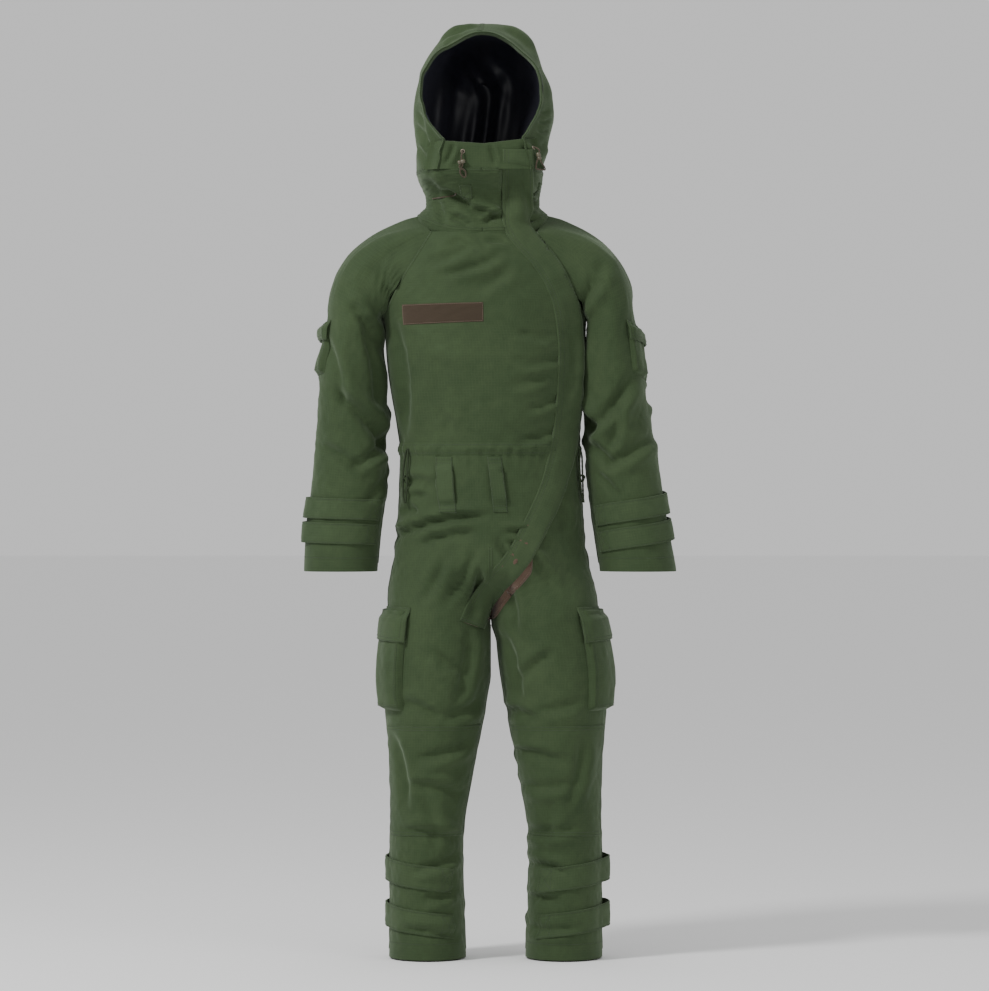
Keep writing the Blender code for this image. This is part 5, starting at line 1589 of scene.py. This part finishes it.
# ---- waist casing, belt loops, waist cords ----------------------------------
cols = 200
phi = TAU * np.arange(cols) / cols
channel_low, channel_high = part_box("waist_channel")
band = np.linspace(channel_high.z + 0.0015, channel_low.z - 0.0015, 11)
prof = np.array([-0.0006, 0.0016, 0.0013, 0.0028, 0.0034, 0.0035, 0.0034, 0.0028, 0.0013,
                 0.0016, -0.0006])
z = np.repeat(band[:, None], cols, 1)
at, n = limb_on(body_tree, body_at, np.broadcast_to(phi, z.shape), z)
n[..., 2] = 0
n = unit(n)
crimp = 0.0007 * np.sin(phi * 41 + 1.0) + 0.0006 * np.sin(phi * 67) + 0.0005 * np.sin(
    phi * 97 + 2)
full = np.clip(prof / 0.0035, 0, 1)[:, None]
waist = at + n * (prof[:, None] + full * crimp[None])[..., None]
waist_n = normals_of(waist, True)
emit_grid("waist_casing", waist, True, GREEN, TORSO, waist_n, [("waist_channel",)])
for i in (2, 8):
    stitch("torso", looped(waist[i]), looped(waist_n[i]))

for side, lean in (("left", 0.0115), ("right", 0.0085)):
    low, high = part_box("belt_loop_" + side)
    x, half = (low.x + high.x) / 2, (high.x - low.x) / 2
    zs = np.linspace(high.z, low.z, 44)
    s = np.linspace(0, 1, 44)
    mid = np.stack([x + lean * (s - 0.5), 0 * s, zs], 1)
    bow = 0.0016 + 0.0058 * smooth01((s - 0.10) / 0.16) * smooth01((0.90 - s) / 0.16)
    t = np.array([0, 0.05, 0.12, 0.5, 0.88, 0.95, 1.0])
    hh = bow[:, None] + np.array([-0.0009, -0.0001, 0.0002, 0.0, 0.0002, -0.0001,
                                  -0.0009])[None]
    at, n = ribbon("belt_loop_cloth_" + side, mid, np.tile([1.0, 0, 0], (44, 1)),
                   (t * 2 - 1) * half, hh, front_tree, GREEN_LIGHT, TORSO,
                   replaces=[("belt_loop_" + side,)], thick=0.0022,
                   caster=front_cast(front_tree))
    top = at + n * hh[..., None]
    for j in (1, 5):
        stitch("torso", top[:, j], n[:, j])
    for i in (2, 5, 38, 41):
        stitch("torso", top[i], n[i])

for side, sign in SIDES:
    low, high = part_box("waist_cord_" + side)
    mid_x, mid_y = (low.x + high.x) / 2, (low.y + high.y) / 2
    cx, cy, a, b = (float(v) for v in body_at(-0.45))
    phi_c = math.atan2((mid_x - cx) / a, -(mid_y - cy) / b)
    pts = []
    drop = high.z - low.z
    for dphi, dz, off in ((-0.030, 0.002, -0.002), (-0.034, -0.006, 0.006),
                          (-0.050, -0.30 * drop, 0.007), (-0.046, -0.72 * drop, 0.006),
                          (-0.016, -0.98 * drop, 0.008), (0.024, -0.86 * drop, 0.007),
                          (0.030, -0.45 * drop, 0.008), (0.020, -0.010, 0.007),
                          (0.016, 0.002, -0.002)):
        hit, m = limb_on(body_tree, body_at, np.array([phi_c + sign * dphi]),
                         np.array([high.z + dz]))
        pts.append(hit[0] + m[0] * off)
    rope("waist_cord_loop_" + side, pts, 0.0018, CORD_GREEN, "torso",
         ["waist_cord_" + side])
    hit, m = limb_on(body_tree, body_at, np.array([phi_c]),
                     np.array([high.z - 0.55 * drop]))
    knot = hit[0] + m[0] * 0.0085
    rope("waist_knot_" + side,
         [knot + [0.004 * math.cos(a) * (1 + 0.3 * math.sin(3 * a)),
                  0.003 * math.sin(2 * a), 0.006 * math.sin(a)]
          for a in np.linspace(0, 1.9 * math.pi, 14)],
         0.0018, CORD_GREEN, "torso")

# ---- name panel and cord tabs -----------------------------------------------
low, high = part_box("name_panel")
plate("name_panel_pile",
      [(low.x, high.z - 0.0030), (high.x, high.z), (high.x + 0.0006, low.z + 0.0052),
       (low.x + 0.0022, low.z)], on_front(front_tree), 0.0019, PILE, "torso",
      [("name_panel",)], nu=60, nv=22, rows=(0.0016,), colour="brown", wobble=0.0003)
for side in ("left", "right"):
    low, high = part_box("cord_tab_" + side)
    mid = (low.z + high.z) / 2
    a0, a1 = (float(phi_of(collar_at, v, mid)) for v in (low.x, high.x))
    a0, a1 = max(a0, -1.05), min(a1, 1.05)
    *cloth_at, _w = plate(
        "cord_tab_cloth_" + side, [(a0, high.z), (a1, high.z), (a1, low.z), (a0, low.z)],
        on_limb(hood_tree, collar_at), 0.0022, GREEN_LIGHT, "collar",
        [("cord_tab_" + side,)], nu=12, nv=14, rows=(0.0018,), soft=0.0010)
    for u0, u1 in ((0.2, 0.8), (0.8, 0.2)):
        line_on(*cloth_at, [(u0, 0.55), (u1, 0.9)], "collar")

# ---- hood cords and their locks ---------------------------------------------
for side, sign in SIDES:
    low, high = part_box("cord_lock_" + side)
    c = np.array([(low.x + high.x) / 2, (low.y + high.y) / 2, (low.z + high.z) / 2])
    hit, m = nearest(hood_tree, c[None])
    hit, m = hit[0], m[0]
    c = hit + m * 0.0072
    KEYS["cord_lock_" + side] = [(None, "cord_lock_" + side)]
    axis = np.array([math.cos(0.25), 0.0, math.sin(0.25)]) if side == "right" \
        else np.array([0.25, -0.30, 0.92])
    axis = unit(axis - m * float(axis @ m))
    other = np.cross(m, axis)
    prof = [(-0.0072, 0.0), (-0.0072, 0.0026), (-0.0066, 0.0036), (-0.0040, 0.0042),
            (-0.0022, 0.0043), (-0.0019, 0.0035), (-0.0012, 0.0035), (-0.0009, 0.0044),
            (0.0036, 0.0044), (0.0048, 0.0040), (0.0066, 0.0036), (0.0074, 0.0026),
            (0.0074, 0.0)]
    turn = TAU * np.arange(28)[:, None] / 28
    around = other * np.cos(turn) + m * np.sin(turn)
    verts = np.concatenate([c + axis * s + around * max(r, 0.00002) for s, r in prof])
    ob = build("toggle_" + side, verts, quads(len(prof), 28, True), TOGGLE)
    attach(ob, "cord_lock_" + side)
    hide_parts("cord_lock_" + side)

    c_low, c_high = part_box("hood_cord_" + side)
    top_p = np.array([c[0] - sign * 0.002, c[1], c_high.z])
    eye, em = nearest(hood_tree, top_p[None])
    eye, em = eye[0], em[0]
    loop = [eye - em * 0.003, eye + em * 0.003]
    loop += [c + np.array([0, 0, 0.011]) + m * 0.001, c,
             c + np.array([0.004 * sign, 0, -0.010])]
    span = max(c[2] - c_low.z, 0.022)
    reach = 0.022 if side == "left" else 0.006
    for dx, dz in ((reach, -0.55), (reach * 1.15, -0.95), (reach * 0.5, -1.15),
                   (-0.002, -0.9), (-0.003, -0.5)):
        q, qm = nearest(hood_tree, (c + np.array([dx, 0, dz * span]))[None])
        loop.append(q[0] + qm[0] * 0.0035)
    loop.append(c + np.array([-0.002 * sign, 0, -0.006]))
    loop.append(c)
    rope("hood_cord_line_" + side, loop, 0.0015, CORD, "hood", ["hood_cord_" + side])
    side_a = unit(np.cross(em, [0, 0, 1.0]))
    up = np.cross(side_a, em)
    pts = [eye + em * 0.0006 + (side_a * math.cos(a) + up * math.sin(a)) * 0.0034
           for a in np.linspace(0, TAU, 25)]
    rope("eyelet_" + side, pts, 0.0011, METAL, "hood", twist=False)

ends_p = []
for x, z in ((-0.058, 0.0765), (-0.070, 0.0735), (-0.088, 0.0705), (-0.100, 0.0700),
             (-0.108, 0.0690)):
    phi_c = float(phi_of(collar_at, x, z))
    q, m = limb_on(hood_tree, collar_at, np.array([phi_c]), np.array([z]))
    ends_p.append(q[0] + m[0] * 0.0014)
rope("cord_end", ends_p, 0.0013, CORD, COLLAR_ZONE[0][1])

# ---- pockets ----------------------------------------------------------------
def pocket(name, side, tree, at, phis, zs, flap_zs, depth, slant, body, kind):
    """Bellows pocket with a flap hinged above it; angles run towards the back."""
    place = on_limb(tree, at)
    a, b = deg(*phis)
    z1, z0 = zs
    p0, _ = place(np.array([a, b]), np.array([z1, z1]))
    w = float(np.linalg.norm(p0[1] - p0[0])) * 1.15
    h = abs(z1 - z0)
    pocket_node, flap_body = kind + "_pocket_" + side, kind + "_flap_" + side

    def bulge(uu, vv):
        sides = smooth01(np.minimum(uu, 1 - uu) * w / 0.0085)
        low = smooth01((1 - vv) * h / 0.0085)
        return depth * sides * low * (0.72 + 0.28 * smooth01(vv * 1.4))

    def over_pocket(uu, vv):
        return (0.0006 + (depth * 0.86 + 0.0030) * smooth01(vv / 0.42)
                * (0.60 + 0.40 * smooth01(np.minimum(uu, 1 - uu) / 0.10)))

    *cloth_at, _w = plate(
        name + "_" + side, [(a, z1), (b, z1 + slant), (b, z0 + slant), (a, z0)], place,
        0.0016, GREEN, body, [(pocket_node,)], nu=44, nv=44, rows=(), soft=0.0012,
        extra=bulge, wobble=0.0012)
    for edge in (0.0085, 0.0125):
        iu, iv = edge / w, edge / h
        line_on(*cloth_at, [(iu, 0.08), (iu, 1 - iv), (1 - iu, 1 - iv), (1 - iu, 0.08)],
                body)
    f1, f0 = flap_zs
    over = math.radians(2.5) * (1 if b > a else -1)
    corners = [(a - over, f1), (b + over, f1 + slant), (b + over, f0 + slant + 0.004),
               (a - over, f0)]
    plate(name + "_flap_" + side, corners, place, 0.0024, GREEN_LIGHT, flap_body,
          [(flap_body,)], nu=34, nv=22, soft=0.0014, rows=(0.0020, 0.0075),
          extra=over_pocket)


ARM_POCKET = {"left": ((40, 122), -0.020), "right": ((-56, -120), -0.006)}
LEG_POCKET = (38, 128)
for side, sign in SIDES:
    low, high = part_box("sleeve_pocket_" + side)
    f_low, f_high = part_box("sleeve_flap_" + side)
    phis, slant = ARM_POCKET[side]
    pocket("arm_pocket", side, arm_tree[side], arm_at[side], phis,
           (high.z + 0.004, low.z + 0.002), (f_high.z + 0.002, f_low.z + 0.004), 0.0085,
           slant, "upper_arm_" + side, "sleeve")
    low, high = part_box("cargo_pocket_" + side)
    f_low, f_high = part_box("cargo_flap_" + side)
    pocket("leg_pocket", side, leg_tree[side], leg_at[side],
           [sign * v for v in LEG_POCKET], (high.z, low.z + 0.001),
           (f_high.z - 0.001, f_low.z + 0.002), 0.0125, 0.003, "upper_leg_" + side,
           "cargo")

# ---- cuff and ankle tabs, knee panels ---------------------------------------
PAD_FROM, PAD_TO, PAD_IN = -44, -3, 0.004     # pad under the tab's free end


def tab(name, side, sign, tree, at, turn, z_mid, slope, width, node, pad_body, free):
    """Adjusting tab sewn at its inner end; the far end lifts off a loop pad."""
    place = on_limb(tree, at)

    def corners(start, end, half):
        a, b = sign * math.radians(start), sign * math.radians(end)
        z_a, z_b = z_mid + slope * a * sign, z_mid + slope * b * sign
        return [(a, z_a + half), (b, z_b + half), (b, z_b - half), (a, z_a - half)]

    def rise(uu, vv):
        return (0.0010 + 0.0011 * np.sin(uu * 9.0) ** 2 * np.sin(uu * 3.1)
                + free * smooth01((uu - 0.62) / 0.22)
                * (1 - 0.5 * smooth01((uu - 0.86) / 0.14)))

    *cloth_at, w = plate(name + "_" + side, corners(*turn, width / 2), place, 0.0028,
                         GREEN_LIGHT, node, [(node,)], nu=70, nv=14, soft=0.0010,
                         rows=(0.0028,), extra=rise)
    box = 0.020 / w
    for path in ([(box, 0.10), (box, 0.90)], [(0.02, 0.12), (box, 0.88)],
                 [(0.02, 0.88), (box, 0.12)]):
        line_on(*cloth_at, path, node)
    plate(name + "_pad_" + side,
          corners(turn[1] + PAD_FROM, turn[1] + PAD_TO, width / 2 - PAD_IN), place, 0.0008,
          PILE, pad_body, (), nu=20, nv=10, rows=(0.0015,), soft=0.0006)


CUFF_TURN, CUFF_WIDTH, CUFF_FREE = (-62, 104), 0.040, 0.0045
CUFF_MID = {"left": {"upper": -0.530, "lower": -0.580},
            "right": {"upper": -0.527, "lower": -0.574}}
CUFF_SLOPE = {"left": 0.010, "right": 0.002}
ANKLE_TURN, ANKLE_WIDTH, ANKLE_SLOPE = (-44, 122), 0.046, 0.009
ANKLE_MID = {"upper": -1.233, "lower": -1.321}
ANKLE_FREE = {"left": 0.0125, "right": 0.0050}
KNEE_TURN, KNEE_TOP = (-76, 76), (-0.9420, -0.9400)
for side, sign in SIDES:
    for which in ("upper", "lower"):
        node = "cuff_tab_%s_%s" % (which, side)
        tab("cuff_tab_%s_cloth" % which, side, sign, arm_tree[side], arm_at[side],
            CUFF_TURN, CUFF_MID[side][which], CUFF_SLOPE[side], CUFF_WIDTH, node,
            "forearm_" + side, CUFF_FREE)
        node = "ankle_tab_%s_%s" % (which, side)
        tab("ankle_tab_%s_cloth" % which, side, sign, leg_tree[side], leg_at[side],
            ANKLE_TURN, ANKLE_MID[which], ANKLE_SLOPE, ANKLE_WIDTH, node,
            "lower_leg_" + side, ANKLE_FREE[side])
    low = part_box("knee_panel_" + side)[0].z
    a, b = deg(*KNEE_TURN)
    plate("knee_patch_" + side, [(a, KNEE_TOP[0]), (b, KNEE_TOP[1]), (b, low), (a, low)],
          on_limb(leg_tree[side], leg_at[side]), 0.0017, GREEN, "leg_" + side,
          [(), ("knee_panel_" + side,)], nu=56, nv=84, rows=(0.0022, 0.0080), soft=0.0012)

# ---- thread -----------------------------------------------------------------
for (key, colour), runs in sorted(threads.items()):
    verts, faces, base = [], [], 0
    for v, f in runs:
        verts.append(v)
        faces.append(f + base)
        base += len(v)
    verts, faces = np.concatenate(verts), np.concatenate(faces)
    emit("thread_%s_%s" % (key, colour), verts, faces, np.zeros((len(faces), 4, 2)),
         THREADS[colour], KEYS[key])

slider = NODES["zip_slider"]
slider.data.materials.clear()
slider.data.materials.append(METAL[0])


# ---- stage ------------------------------------------------------------------
world = bpy.data.worlds.new("studio")
bpy.context.scene.world = world
world.use_nodes = True
back_node = world.node_tree.nodes["Background"]
back_node.inputs["Color"].default_value = (1, 1, 1, 1)
back_node.inputs["Strength"].default_value = 0.72


def sheet(name, points, mat):
    me = bpy.data.meshes.new(name)
    me.from_pydata(points, [], [(0, 1, 2, 3)])
    me.materials.append(mat)
    ob = bpy.data.objects.new(name, me)
    bpy.context.scene.collection.objects.link(ob)
    return ob


def lamp(name, place, aim, size, power):
    data = bpy.data.lights.new(name, "AREA")
    data.shape, data.size, data.energy = "DISK", size, power
    ob = bpy.data.objects.new(name, data)
    ob.location = place
    ob.rotation_euler = (Vector(aim) - Vector(place)).to_track_quat("-Z", "Y").to_euler()
    bpy.context.scene.collection.objects.link(ob)
    return ob


pale = bpy.data.materials.new("floor_pale")
pale.use_nodes = True
paint = pale.node_tree.nodes["Principled BSDF"].inputs["Base Color"]
paint.default_value = (0.92, 0.92, 0.92, 1)
pale.node_tree.nodes["Principled BSDF"].inputs["Roughness"].default_value = 0.9
floor_z = HEM_Z - 0.0035
floor = sheet("floor", [(-60, -60, floor_z), (60, -60, floor_z), (60, 60, floor_z),
                        (-60, 60, floor_z)], pale)
stage = [floor,
         lamp("key", (-2.7, -2.5, 2.7), (0, 0, -0.35), 0.9, 175),
         lamp("fill", (2.8, -3.2, 0.9), (0, 0, -0.4), 2.2, 20)]

cam = bpy.data.objects.new("camera", bpy.data.cameras.new("camera"))
cam.location = (0.0106, -9.0, -0.501)
cam.rotation_euler = (math.pi / 2, 0, 0)
cam.data.sensor_fit = "VERTICAL"
cam.data.sensor_height = 36.0
cam.data.lens = 36.0 * 8.97 / 1.9057
cam.data.clip_end = 200
cam.data.dof.use_dof = False
bpy.context.scene.collection.objects.link(cam)
bpy.context.scene.camera = cam
